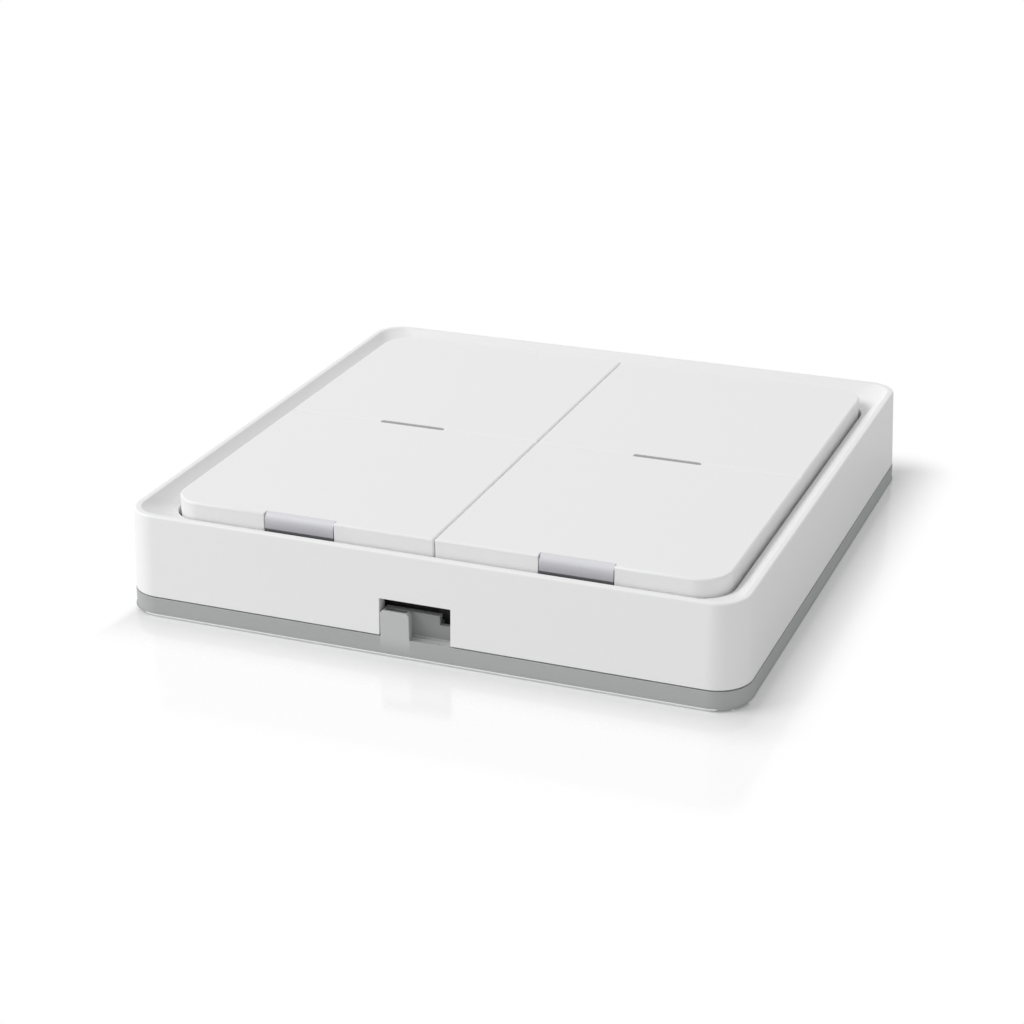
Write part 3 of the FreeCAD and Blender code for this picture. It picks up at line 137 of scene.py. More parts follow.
class Nodes:
    """A node tree being wired. `add` makes any node: its type, its settings, then its inputs."""

    def __init__(self, tree):
        self.tree = tree

    def add(self, kind, settings, inputs, out=0):
        node = self.tree.nodes.new(kind)
        for name, setting in settings.items():
            setattr(node, name, setting)
        pairs = inputs.items() if isinstance(inputs, dict) else enumerate(inputs)
        for where, value in pairs:
            self.feed(node.inputs[where], value)
        return Value(self, node.outputs[out]) if node.outputs else None

    def feed(self, socket, value):
        if isinstance(value, Value):
            self.tree.links.new(value.socket, socket)
        else:
            socket.default_value = value

    def mix(self, share, first, second):
        """A colour between two colours. Its sockets go by number, because they share names."""
        return self.add("ShaderNodeMix", {"data_type": "RGBA"},
                        {0: share, 6: first, 7: second}, out=2)

    def point(self, x, y, z):
        return self.add("ShaderNodeCombineXYZ", {}, (x, y, z))

    def ramp(self, value, low, high):
        """0 below `low`, 1 above `high`, and a smooth step between them."""
        return self.add("ShaderNodeMapRange", {"interpolation_type": "SMOOTHSTEP"},
                        {"Value": value, "From Min": low, "From Max": high})


def colour(rgb):
    return (*rgb, 1.0)


class Finish(Nodes):
    """A material: a Principled surface whose varying inputs are fed from Object coordinates."""

    def __init__(self, name):
        self.material = bpy.data.materials.new(name)
        self.material.use_nodes = True
        super().__init__(self.material.node_tree)
        self.tree.nodes.clear()
        self.place = self.add("ShaderNodeTexCoord", {}, {}, out="Object")

    def axis(self, number):
        """How far a point of the surface lies along X, Y or Z."""
        return self.add("ShaderNodeSeparateXYZ", {}, (self.place,), out=number)

    def reach(self):
        """How far a point lies from the middle, along X or Y, whichever is more."""
        return abs(self.axis(0)).maths("MAXIMUM", abs(self.axis(1)))

    def noise(self, scale, detail=2.0, stretch=(1.0, 1.0, 1.0)):
        where = self.add("ShaderNodeMapping", {}, {"Vector": self.place, "Scale": stretch})
        return self.add("ShaderNodeTexNoise", {},
                        {"Vector": where, "Scale": scale, "Detail": detail})

    def bump(self, height, distance):
        return self.add("ShaderNodeBump", {}, {"Distance": distance, "Height": height})

    def surface(self, inputs):
        shader = self.add("ShaderNodeBsdfPrincipled", {}, inputs)
        self.add("ShaderNodeOutputMaterial", {}, {"Surface": shader})
        return self.material


def moulded_plastic(name, light, dark, roughness, paint=None, grain=FINE_GRAIN, gloss=None):
    """Plastic from an eroded mould: a fine even grain, and a slow drift of tone and sheen."""
    finish = Finish(name)
    drift = finish.noise(SLOW_DRIFT)
    fine = finish.noise(grain, detail=3.0)
    patches = drift * DRIFT_IN_TONE + fine * (1 - DRIFT_IN_TONE)
    tone = finish.mix(patches, colour(dark), colour(light))
    if paint:
        tone = paint(finish, tone)
    sheen = roughness + (drift - 0.5) * DRIFT_IN_SHEEN + (fine - 0.5) * GRAIN_IN_SHEEN
    return finish.surface({"Base Color": tone, "Roughness": sheen, "IOR": PLASTIC_IOR,
                           "Normal": finish.bump(fine, GRAIN_DEPTH), **(gloss or {})})


def plate_painted_light(finish, tone):
    """A painted highlight on the lip, painted light on the pry tab's face, painted shade in the
    pocket.
    """
    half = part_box("wall_plate")[1].x
    x, y, z = (finish.axis(number) for number in range(3))
    # Painted highlight along the lip round the plate's foot.
    lip_highlight = (finish.reach() > half - LIP_REACH) * (z < LIP_TOP)
    across_tab = (x > TAB_LEFT) * (x < TAB_RIGHT) * (y < TAB_FACE - half)
    # Painted light on the tab's face, paler from its foot upwards.
    tab_light = across_tab * finish.ramp(z, LIP_TOP, TAB_PALE)
    # Painted shade on the pocket's walls inside the notch.
    inside = finish.ramp(y, POCKET_START - half, POCKET_END - half) * (z > TAB_PALE)
    tone = finish.mix(tab_light, finish.mix(inside, tone, colour(GREY_POCKET_SHADE)), colour(GREY_TAB_LIGHT))
    return finish.mix(lip_highlight, tone, colour(GREY_LIP_HIGHLIGHT))


def settle(piece):
    """Turns what a piece's modifiers make of it into its plain mesh, and removes them."""
    graph = bpy.context.evaluated_depsgraph_get()
    mesh = bpy.data.meshes.new_from_object(piece.evaluated_get(graph))
    piece.modifiers.clear()
    piece.data = mesh
    mesh.name = piece.name
    return piece


def ease_edges(piece, edge, share=lambda border: 1.0):
    """Rounds a piece's sharp edges by up to `edge`, each by its share, and keeps flat faces flat.

    An edge whose share is 0 stays crisp.
    """
    shape = bmesh.new()
    shape.from_mesh(piece.data)
    weight = shape.edges.layers.float.new("bevel_weight_edge")
    for face in shape.faces:
        face.smooth = True
    for border in shape.edges:
        part = share(border)
        border[weight] = part if border.calc_face_angle(0.0) > SHARP else 0.0
        border.smooth = part > 0.0
    shape.to_mesh(piece.data)
    shape.free()
    bevel = piece.modifiers.new("edges", "BEVEL")
    bevel.width = edge
    bevel.segments = EDGE_STEPS
    bevel.limit_method = "WEIGHT"
    bevel.use_clamp_overlap = False
    piece.modifiers.new("normals", "WEIGHTED_NORMAL").keep_sharp = True
    return settle(piece)


def add_piece(name, mesh):
    piece = bpy.data.objects.new(name, mesh)
    bpy.context.scene.collection.objects.link(piece)
    return piece


def seat(piece, slot, *nodes, body="housing"):
    """A finished piece rides on its body and stands for the nodes that it replaces."""
    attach(piece, body)
    if nodes:
        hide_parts(*nodes)


def eased_copy(node, suffix, material, edge, share=lambda border: 1.0):
    """A node's own shape with its edges eased as its tool leaves them, standing for the node."""
    source = frame["nodes"][node].data.copy()
    if "custom_normal" in source.attributes:
        source.attributes.remove(source.attributes["custom_normal"])
    shape = bmesh.new()
    shape.from_mesh(source)
    bmesh.ops.remove_doubles(shape, verts=shape.verts, dist=SAME_PLACE)
    bmesh.ops.dissolve_limit(shape, angle_limit=FLAT, verts=shape.verts, edges=shape.edges)
    mesh = bpy.data.meshes.new(f"{node}_{suffix}")
    shape.to_mesh(mesh)
    shape.free()
    mesh.materials.clear()
    mesh.materials.append(material)
    piece = ease_edges(add_piece(f"{node}_{suffix}", mesh), edge, share)
    seat(piece, SLOT_OF[node], node, body=BODY_OF[node])


class Shape(Nodes):
    """A Geometry Nodes tree whose named inputs are a piece's sizes. It ends in one plain mesh."""

    def __init__(self, name, **sizes):
        super().__init__(bpy.data.node_groups.new(name, "GeometryNodeTree"))
        self.name = name
        self.sizes = sizes
        interface = self.tree.interface
        interface.new_socket("Geometry", in_out="OUTPUT", socket_type="NodeSocketGeometry")
        self.keys = {word: interface.new_socket(
            word, in_out="INPUT", socket_type="NodeSocketFloat").identifier for word in sizes}
        self.entry = self.tree.nodes.new("NodeGroupInput")

    def __getitem__(self, word):
        return Value(self, self.entry.outputs[word])

    def index(self):
        return self.add("GeometryNodeInputIndex", {}, {})

    def block(self, width, depth, height, x=0.0, y=0.0, z=0.0):
        """A block with its middle at that place."""
        cube = self.add("GeometryNodeMeshCube", {}, {"Size": self.point(width, depth, height)})
        return self.moved(cube, x, y, z)

    def drum(self, sides, radius, depth):
        return self.add("GeometryNodeMeshCylinder", {}, {
            "Vertices": sides, "Radius": radius, "Depth": depth})

    def moved(self, shape, x, y, z):
        return self.add("GeometryNodeTransform", {}, {
            "Geometry": shape, "Translation": self.point(x, y, z)})

    def joined(self, *shapes):
        node = self.tree.nodes.new("GeometryNodeJoinGeometry")
        for shape in reversed(shapes):
            self.feed(node.inputs[0], shape)
        return Value(self, node.outputs[0])

    def real(self, shape):
        return self.add("GeometryNodeRealizeInstances", {}, {"Geometry": shape})

    def without(self, shape, cutter):
        return self.add("GeometryNodeMeshBoolean", {"operation": "DIFFERENCE", "solver": "EXACT"},
                        {"Mesh 1": shape, "Mesh 2": self.real(cutter)})

    def repeated(self, shape, count, x, y, z):
        """That shape at `count` points, whose places may be sums on the point's index."""
        points = self.add("GeometryNodePoints", {}, {
            "Count": count, "Position": self.point(x, y, z)})
        return self.add("GeometryNodeInstanceOnPoints", {}, {"Points": points, "Instance": shape})

    def build(self, shape, material):
        """The finished tree, run on an empty object that it turns into a plain mesh."""
        painted = self.add("GeometryNodeSetMaterial", {}, {
            "Geometry": self.real(shape), "Material": material})
        self.add("NodeGroupOutput", {}, {0: painted})
        piece = add_piece(self.name, bpy.data.meshes.new(self.name))
        modifier = piece.modifiers.new(self.name, "NODES")
        modifier.node_group = self.tree
        for word, size in self.sizes.items():
            modifier[self.keys[word]] = size
        settle(piece)
        if piece.data.materials[0] is None:
            piece.data.materials.pop(index=0)
        return piece


# The grey moulding carries the plate's painted highlight, painted light and painted shade.
grey_plastic = moulded_plastic("grey_moulding", GREY, GREY_DARKER, roughness=0.55,
                               paint=plate_painted_light, gloss=DULL_FACE)
eased_copy("wall_plate", "moulding", grey_plastic, edge=0.07 * MM)

RIBS = 26
ribs = Shape("adhesive_ribs", pitch=2.0 * MM, width=0.6 * MM, length=13.4 * MM, height=0.14 * MM,
             recess=0.3 * MM, from_middle=26.0 * MM)
rib = ribs.block(ribs["width"], ribs["length"], ribs["height"])
across = (ribs.index() - (RIBS - 1) / 2) * ribs["pitch"]
level = ribs["recess"] - ribs["height"] / 2
rows = [ribs.repeated(rib, RIBS, across, ribs["from_middle"] * end, level) for end in (-1, 1)]
seat(ribs.build(ribs.joined(*rows), grey_plastic), "grey_plastic")

# The rear cover: the dark ABS tray behind the board, with wells for the heads of the wall screws.
# The battery door is a disc of the same ABS whose three lugs turn under the tray's edge.

INNER = (0.058, 0.058, 0.061)
INNER_DARKER = (0.050, 0.050, 0.053)
INNER_GRAIN = 1 / (0.4 * MM)

inner_plastic = moulded_plastic("inner_moulding", INNER, INNER_DARKER, roughness=0.5,
                                grain=INNER_GRAIN)
eased_copy("rear_cover", "tray", inner_plastic, edge=0.1 * MM)
eased_copy("battery_door", "disc", inner_plastic, edge=0.1 * MM)

# The circuit board: glass laminate under a green mask, screwed between the tray and the chassis.
# Plated vias dot its two faces, and a row of round gold pads near the edge is for its programming.

MASK = (0.020, 0.150, 0.070)
MASK_OVER_COPPER = (0.040, 0.230, 0.110)
MASK_ROUGHNESS = 0.28
WEAVE_IN_SHEEN = 0.12
LAMINATE_IOR = 1.5
TRACE_PITCH = 0.9 * MM
TRACE_SHARE = 0.4
PATCH = 1 / (9 * MM)
WEAVE = 1 / (0.5 * MM)
MASK_RELIEF = 0.02 * MM
COPPER_STEP = 0.6
PLATED = (0.83, 0.62, 0.28)
PLATED_DARKER = (0.70, 0.50, 0.21)
METAL_DRIFT = 120.0
METAL_DRIFT_IN_TONE = 0.6
METAL_DRIFT_IN_SHEEN = 0.08
LINES_IN_SHEEN = 0.18
ROLLED_LINES = 1 / (0.8 * MM)
LINE_DEPTH = 0.003 * MM


def board_laminate_finish():
    """Green mask with the faint weave of the glass and paler lines where copper runs under it."""
    finish = Finish("masked_laminate")
    x, y = finish.axis(0) / TRACE_PITCH, finish.axis(1) / TRACE_PITCH
    patch = finish.noise(PATCH, detail=0.0) > 0.5
    lines_x = (x - math.floor(x)) < TRACE_SHARE
    lines_y = (y - math.floor(y)) < TRACE_SHARE
    copper = lines_x * patch + lines_y * (1 - patch)
    tone = finish.mix(copper, colour(MASK), colour(MASK_OVER_COPPER))
    weave = finish.noise(WEAVE, detail=1.0)
    height = copper * COPPER_STEP + weave * (1 - COPPER_STEP)
    return finish.surface({
        "Base Color": tone, "Roughness": MASK_ROUGHNESS + weave * WEAVE_IN_SHEEN,
        "IOR": LAMINATE_IOR, "Normal": finish.bump(height, MASK_RELIEF)})


def sheet_metal(name, light, dark, roughness, stretch=(1.0, 1.0, 12.0), scale=ROLLED_LINES):
    """Rolled or plated metal: fine lines along the rolling direction, and a drift of tone."""
    finish = Finish(name)
    drift = finish.noise(METAL_DRIFT)
    lines = finish.noise(scale, detail=3.0, stretch=stretch)
    patches = drift * METAL_DRIFT_IN_TONE + lines * (1 - METAL_DRIFT_IN_TONE)
    tone = finish.mix(patches, colour(dark), colour(light))
    sheen = roughness + (lines - 0.5) * LINES_IN_SHEEN + (drift - 0.5) * METAL_DRIFT_IN_SHEEN
    return finish.surface({"Base Color": tone, "Metallic": 1.0, "Roughness": sheen,
                           "Normal": finish.bump(lines, LINE_DEPTH)})


board_laminate = board_laminate_finish()
plated_copper = sheet_metal("plated_copper", PLATED, PLATED_DARKER, roughness=0.3)
eased_copy("circuit_board", "laminate", board_laminate, edge=0.05 * MM)

board_low, board_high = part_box("circuit_board")
PADS = 6
PADS_FROM_EDGE = 3 * MM
VIAS_FROM_EDGE = 4 * MM
vias = Shape("board_vias", side=board_high.x * 2 - VIAS_FROM_EDGE * 2, apart=4 * MM,
             density=22000.0, radius=0.32 * MM, proud=0.03 * MM, top=board_high.z,
             bottom=board_low.z, pad_radius=0.75 * MM, pad_pitch=2.54 * MM,
             pads_from_middle=board_high.y - PADS_FROM_EDGE)
field = vias.add("GeometryNodeMeshGrid", {}, {
    "Size X": vias["side"], "Size Y": vias["side"], "Vertices X": 2, "Vertices Y": 2})
spread = vias.add("GeometryNodeDistributePointsOnFaces", {"distribute_method": "POISSON"}, {
    "Mesh": field, "Distance Min": vias["apart"], "Density Max": vias["density"], "Seed": 7})
ring = vias.drum(12, vias["radius"], vias["proud"] * 2)
scattered = vias.add("GeometryNodeInstanceOnPoints", {}, {"Points": spread, "Instance": ring})
round_pad = vias.drum(24, vias["pad_radius"], vias["proud"] * 2)
pads = vias.repeated(round_pad, PADS, (vias.index() - (PADS - 1) / 2) * vias["pad_pitch"],
                     vias["pads_from_middle"], vias["bottom"])
both_faces = [vias.moved(scattered, 0.0, 0.0, vias[face]) for face in ("top", "bottom")]
seat(vias.build(vias.joined(*both_faces, pads), plated_copper), "contact_nickel")

# The push switches: a black moulded body on four soldered legs, a sheet steel cover riveted at its
# corners, and a round button that the rocker above it presses.

BLACK = (0.030, 0.030, 0.030)
BLACK_DARKER = (0.024, 0.024, 0.024)
STEEL = (0.66, 0.66, 0.65)
STEEL_DARKER = (0.56, 0.56, 0.55)
BUTTON_GREY = (0.30, 0.30, 0.31)
BUTTON_DARKER = (0.27, 0.27, 0.28)
RIVET_FLATNESS = 0.3
SWITCH_NAMES = [f"{end}_{side}" for end in ("front", "rear") for side in ("left", "right")]

black_plastic = moulded_plastic("black_moulding", BLACK, BLACK_DARKER, roughness=0.45)
button_plastic = moulded_plastic("button_moulding", BUTTON_GREY, BUTTON_DARKER, roughness=0.38)
sheet_steel = sheet_metal("rolled_steel", STEEL, STEEL_DARKER, roughness=0.34,
                          stretch=(12.0, 1.0, 1.0))
for name in SWITCH_NAMES:
    eased_copy(f"{name}_switch_body", "housing", black_plastic, edge=0.06 * MM)
    eased_copy(f"{name}_switch_button", "cap", button_plastic, edge=0.08 * MM)
eased_copy("switch_metal_covers", "sheets", sheet_steel, edge=0.04 * MM)

first_low, first_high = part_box("front_left_switch_body")
last_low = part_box("rear_right_switch_body")[0]
cover_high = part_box("switch_metal_covers")[1]
fittings = Shape(
    "switch_legs_and_rivets", left=(first_low.x + first_high.x) / 2,
    front=(first_low.y + first_high.y) / 2, across=last_low.x - first_low.x,
    along=last_low.y - first_low.y, half=(first_high.x - first_low.x) / 2, board=first_low.z,
    cover=cover_high.z, leg_width=0.7 * MM, leg_reach=0.8 * MM, leg_height=0.5 * MM,
    leg_apart=2.25 * MM, rivet=0.42 * MM, rivet_apart=2.3 * MM)


def each_way(shape):
    """-1 or 1 along X, and -1 or 1 along Y, for each point of a group of four."""
    return [(shape.index() // step % 2 - 0.5) * 2 for step in (1, 2)]


sideways, endways = each_way(fittings)
leg = fittings.block(fittings["leg_reach"], fittings["leg_width"], fittings["leg_height"])
legs = fittings.repeated(leg, 4, sideways * fittings["half"], endways * fittings["leg_apart"],
                         fittings["board"] + fittings["leg_height"] / 2)
dome = fittings.add("GeometryNodeMeshUVSphere", {}, {
    "Segments": 14, "Rings": 8, "Radius": fittings["rivet"]})
flat_dome = fittings.add("GeometryNodeTransform", {}, {
    "Geometry": dome, "Scale": (1.0, 1.0, RIVET_FLATNESS)})
rivets = fittings.repeated(flat_dome, 4, sideways * fittings["rivet_apart"],
                           endways * fittings["rivet_apart"], fittings["cover"])
one_set = fittings.joined(legs, rivets)
sets = fittings.repeated(
    one_set, 4, fittings["left"] + (sideways + 1) / 2 * fittings["across"],
    fittings["front"] + (endways + 1) / 2 * fittings["along"], 0.0)
seat(fittings.build(sets, sheet_steel), "sheet_steel")

# The small parts on the board: twelve chip resistors and capacitors with plated ends, a crystal in
# its metal can, a large resin-dipped capacitor, and a lamp under each rocker's light guide.

CERAMIC = (0.30, 0.24, 0.17)
CERAMIC_DARKER = (0.24, 0.19, 0.13)
RESIN = (0.52, 0.30, 0.07)
RESIN_DARKER = (0.44, 0.24, 0.05)
PHOSPHOR = (0.85, 0.80, 0.45)
PHOSPHOR_DARKER = (0.80, 0.73, 0.38)
NICKEL = (0.72, 0.70, 0.65)
NICKEL_DARKER = (0.62, 0.60, 0.55)
CLEAR_GLOSS = {"Coat Weight": 0.6, "Coat Roughness": 0.08}

chip_ceramic = moulded_plastic("chip_body", CERAMIC, CERAMIC_DARKER, roughness=0.5)
capacitor_resin = moulded_plastic("dipped_resin", RESIN, RESIN_DARKER, roughness=0.35)
led_resin = moulded_plastic("lamp_resin", PHOSPHOR, PHOSPHOR_DARKER, roughness=0.25,
                            gloss=CLEAR_GLOSS)
contact_nickel = sheet_metal("nickel_plate", NICKEL, NICKEL_DARKER, roughness=0.25)
eased_copy("chip_parts", "bodies", chip_ceramic, edge=0.05 * MM)
eased_copy("crystal", "can", sheet_steel, edge=0.12 * MM)
eased_copy("bulk_capacitor", "block", capacitor_resin, edge=0.2 * MM)
for side in ("left", "right"):
    eased_copy(f"{side}_indicator_led", "lens", led_resin, edge=0.08 * MM)

CHIP_COLUMNS = 4
CHIP_ROWS = 3
chips_low, chips_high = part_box("chip_parts")
caps = Shape("chip_end_caps", left=chips_low.x, front=chips_low.y, bottom=chips_low.z,
             top=chips_high.z, width=1.6 * MM, depth=0.8 * MM, cap=0.32 * MM, plate=0.02 * MM,
             reach=chips_high.x - chips_low.x, run=chips_high.y - chips_low.y)
cap = caps.block(caps["cap"], caps["depth"] + caps["plate"] * 2,
                 caps["top"] - caps["bottom"] + caps["plate"])
chip_number = caps.index()
chip_row = chip_number // CHIP_COLUMNS
chip_column = chip_number - chip_row * CHIP_COLUMNS
pitch_x = (caps["reach"] - caps["width"]) / (CHIP_COLUMNS - 1)
pitch_y = (caps["run"] - caps["depth"]) / (CHIP_ROWS - 1)
ends = []
for end in (0, 1):
    from_left = caps["cap"] / 2 + (caps["width"] - caps["cap"]) * end
    ends.append(caps.repeated(
        cap, CHIP_COLUMNS * CHIP_ROWS, caps["left"] + from_left + chip_column * pitch_x,
        caps["front"] + caps["depth"] / 2 + chip_row * pitch_y,
        (caps["top"] + caps["bottom"] - caps["plate"]) / 2))
seat(caps.build(caps.joined(*ends), contact_nickel), "contact_nickel")

# The radio module: its own small board with a plated pad for each solder joint, a folded strip of
# copper for its aerial, and a drawn steel can with vent holes over its chips.

PAD_COUNT = 9
PAD_OVERHANG = 0.04
AERIAL_TURNS = 7
radio_low, radio_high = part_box("radio_board")
can_low, can_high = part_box("radio_shield")
eased_copy("radio_board", "laminate", board_laminate, edge=0.04 * MM)

copper = Shape("radio_pads_and_aerial", left=radio_low.x, right=radio_high.x, front=radio_low.y,
               bottom=radio_low.z, top=radio_high.z, can_front=can_low.y, can_back=can_high.y,
               pad=0.8 * MM, proud=0.04 * MM, strip=0.35 * MM, margin=1.2 * MM)
pad_pitch = (copper["can_back"] - copper["can_front"]) / PAD_COUNT
pad = copper.block(copper["pad"], copper["pad"],
                   copper["top"] - copper["bottom"] + copper["proud"])
pad_y = copper["can_front"] + (copper.index() + 0.5) * pad_pitch
pad_z = (copper["top"] + copper["bottom"] - copper["proud"]) / 2
strips = [
    copper.repeated(pad, PAD_COUNT, copper[edge] + copper["pad"] * (0.5 - share), pad_y, pad_z)
    for edge, share in (("left", PAD_OVERHANG), ("right", 1 - PAD_OVERHANG))]
run = copper["can_front"] - copper["front"] - copper["margin"]
stretch = copper["right"] - copper["left"] - copper["margin"] * 2
turn_pitch = stretch / (AERIAL_TURNS - 1)
upright = copper.block(copper["strip"], run, copper["proud"] * 2)
aerial_y = copper["front"] + copper["margin"] / 2 + run / 2
strips.append(copper.repeated(
    upright, AERIAL_TURNS, copper["left"] + copper["margin"] + copper.index() * turn_pitch,
    aerial_y, copper["bottom"]))
link = copper.block(turn_pitch + copper["strip"], copper["strip"], copper["proud"] * 2)
which_end = copper.index() % 2 - 0.5
strips.append(copper.repeated(
    link, AERIAL_TURNS - 1,
    copper["left"] + copper["margin"] + (copper.index() + 0.5) * turn_pitch,
    aerial_y + which_end * (run - copper["strip"]), copper["bottom"]))
seat(copper.build(copper.joined(*strips), plated_copper), "contact_nickel")

VENT_COLUMNS = 4
VENT_ROWS = 5
can = Shape("radio_shield_can", width=can_high.x - can_low.x, length=can_high.y - can_low.y,
            height=can_high.z - can_low.z, x=(can_low.x + can_high.x) / 2,
            y=(can_low.y + can_high.y) / 2, foot=can_high.z, sheet=0.2 * MM, vent=0.45 * MM,
            vent_pitch=2.0 * MM)
outside = can.block(can["width"], can["length"], can["height"])
hollow = can.block(can["width"] - can["sheet"] * 2, can["length"] - can["sheet"] * 2,
                   can["height"], z=can["sheet"])
drill = can.drum(20, can["vent"], can["sheet"] * 4)
vent_row = can.index() // VENT_COLUMNS
vent_column = can.index() - vent_row * VENT_COLUMNS
drills = can.repeated(drill, VENT_COLUMNS * VENT_ROWS,
                      (vent_column - (VENT_COLUMNS - 1) / 2) * can["vent_pitch"],
                      (vent_row - (VENT_ROWS - 1) / 2) * can["vent_pitch"], can["height"] * -0.5)
drilled = can.without(can.without(outside, hollow), drills)
shield = can.build(can.moved(drilled, can["x"], can["y"], can["foot"] - can["height"] / 2),
                   sheet_steel)
seat(ease_edges(shield, edge=0.06 * MM), "sheet_steel", "radio_shield")

# The battery: a lithium coin cell in a black ring, with a sprung nickel strip on its negative cap
# and an angled one against its side. The cell is a steel can crimped over a gasket round its cap.

CELL_STEEL = (0.76, 0.75, 0.73)
CELL_STEEL_DARKER = (0.68, 0.67, 0.65)
CELL_GRAIN = 1 / (0.5 * MM)

cell_low, cell_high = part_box("coin_cell")
cell_steel = sheet_metal("cell_can", CELL_STEEL, CELL_STEEL_DARKER, roughness=0.22,
                         stretch=(1.0, 1.0, 1.0), scale=CELL_GRAIN)
eased_copy("battery_holder", "ring", black_plastic, edge=0.12 * MM)
for contact in ("negative_contact", "positive_contact"):
    eased_copy(contact, "strip", contact_nickel, edge=0.04 * MM)


def add_skin(shape, rows, columns, place):
    """A closed skin of rows, listed upwards on the outside, and columns round the Z axis."""
    sheet = shape.add("GeometryNodeMeshGrid", {}, {"Vertices X": rows, "Vertices Y": columns})
    number = shape.index()
    row = (number + 0.5) // columns
    column = number - row * columns
    put = shape.add("GeometryNodeSetPosition", {}, {
        "Geometry": sheet, "Position": shape.point(*place(row, column))})
    merged = shape.add("GeometryNodeMergeByDistance", {}, {
        "Geometry": put, "Distance": SAME_PLACE})
    return shape.add("GeometryNodeFlipFaces", {}, {"Mesh": merged})


def choose(shape, number, choices):
    """The choice with that number."""
    switch = shape.tree.nodes.new("GeometryNodeIndexSwitch")
    switch.data_type = "FLOAT"
    for _ in choices[2:]:
        switch.index_switch_items.new()
    shape.feed(switch.inputs[0], number)
    for socket, choice in zip(switch.inputs[1:], choices):
        shape.feed(socket, choice)
    return Value(shape, switch.outputs[0])


def add_turning(shape, profile, sides):
    """A turned solid from its profile, listed upwards on the outside as radius and height."""
    def place(row, column):
        angle = column * (2 * math.pi / sides)
        radius = choose(shape, row, [radius for radius, _ in profile])
        return (radius * angle.maths("COSINE"), radius * angle.maths("SINE"),
                choose(shape, row, [height for _, height in profile]))
    return add_skin(shape, len(profile), sides + 1, place)


cell = Shape("coin_cell_can_and_cap", radius=cell_high.x, cap_radius=cell_high.x - 1.45 * MM,
             bottom=cell_low.z, top=cell_high.z, shoulder=cell_high.z - 0.4 * MM,
             edge=0.35 * MM, groove=0.25 * MM, y=(cell_low.y + cell_high.y) / 2)
cell_solid = add_turning(cell, [
    (0.0, cell["bottom"]),
    (cell["radius"] - cell["edge"] * 2, cell["bottom"]),
    (cell["radius"] - cell["edge"], cell["bottom"] + cell["edge"] * 0.15),
    (cell["radius"] - cell["edge"] * 0.3, cell["bottom"] + cell["edge"] * 0.5),
    (cell["radius"], cell["bottom"] + cell["edge"] * 1.3),
    (cell["radius"], cell["shoulder"] - cell["edge"] * 1.3),
    (cell["radius"] - cell["edge"] * 0.3, cell["shoulder"] - cell["edge"] * 0.4),
    (cell["radius"] - cell["edge"] * 1.1, cell["shoulder"]),
    (cell["cap_radius"] + cell["groove"], cell["shoulder"]),
    (cell["cap_radius"] + cell["groove"], cell["shoulder"] - cell["groove"]),
    (cell["cap_radius"], cell["shoulder"] - cell["groove"]),
    (cell["cap_radius"] - cell["edge"] * 0.2, cell["top"] - cell["edge"] * 0.5),
    (cell["cap_radius"] - cell["edge"], cell["top"]),
    (0.0, cell["top"])], sides=96)
coin_cell = cell.build(cell.moved(cell_solid, 0.0, cell["y"], 0.0), cell_steel)
seat(ease_edges(coin_cell, edge=0.04 * MM), "cell_steel", "coin_cell")

# The pairing switch behind the unit: a small black push switch, with a button that shows through a
# hole in the tray.

eased_copy("pairing_switch_body", "housing", black_plastic, edge=0.06 * MM)
eased_copy("pairing_button", "cap", button_plastic, edge=0.08 * MM)

# The chassis: the dark ABS carrier over the board, with the ears that the rockers pivot in and the
# bosses for the screws. It snaps into the front cover on four catches.

eased_copy("chassis", "moulding", inner_plastic, edge=0.08 * MM)

# The case screws: four pan-head self-tapping screws of plated steel, which draw the tray, the board
# and the chassis together.

SCREW_STEEL = (0.62, 0.61, 0.58)
SCREW_STEEL_DARKER = (0.50, 0.49, 0.46)
SCREW_HEAD = 1.9 * MM
THREAD_TURNS = 7.0

screws_low, screws_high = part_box("case_screws")
screw_steel = sheet_metal("screw_plate", SCREW_STEEL, SCREW_STEEL_DARKER, roughness=0.3)
screw = Shape("case_screw_set", head=SCREW_HEAD, seat=1.3 * MM, core=0.62 * MM, thread=0.13 * MM,
              bottom=screws_low.z, top=screws_high.z, point=0.9 * MM, cross=2.4 * MM,
              cross_width=0.5 * MM, cross_depth=0.6 * MM, apart=screws_high.x - SCREW_HEAD)
underside = screw["bottom"] + screw["seat"]
blank = add_turning(screw, [
    (0.0, screw["bottom"]),
    (screw["head"] * 0.55, screw["bottom"]),
    (screw["head"] * 0.78, screw["bottom"] + screw["seat"] * 0.08),
    (screw["head"] * 0.93, screw["bottom"] + screw["seat"] * 0.27),
    (screw["head"], screw["bottom"] + screw["seat"] * 0.6),
    (screw["head"], underside),
    (screw["core"], underside),
    (screw["core"], screw["top"] - screw["point"]),
    (0.0, screw["top"])], sides=40)
arms = [screw.block(width, depth, screw["cross_depth"] * 2, z=screw["bottom"])
        for width, depth in ((screw["cross"], screw["cross_width"]),
                             (screw["cross_width"], screw["cross"]))]
slotted = screw.without(screw.without(blank, arms[0]), arms[1])
helix = screw.add("GeometryNodeCurveSpiral", {}, {
    "Resolution": 20, "Rotations": THREAD_TURNS, "Start Radius": screw["core"],
    "End Radius": screw["core"], "Height": screw["top"] - screw["point"] - underside})
tooth = screw.add("GeometryNodeCurvePrimitiveCircle", {}, {
    "Resolution": 3, "Radius": screw["thread"]})
thread = screw.add("GeometryNodeCurveToMesh", {}, {
    "Curve": helix, "Profile Curve": tooth, "Fill Caps": True})
one_screw = screw.joined(slotted, screw.moved(thread, 0.0, 0.0, underside))
sideways, endways = each_way(screw)
four = screw.repeated(one_screw, 4, sideways * screw["apart"], endways * screw["apart"], 0.0)
seat(ease_edges(screw.build(four, screw_steel), edge=0.05 * MM), "screw_steel", "case_screws")

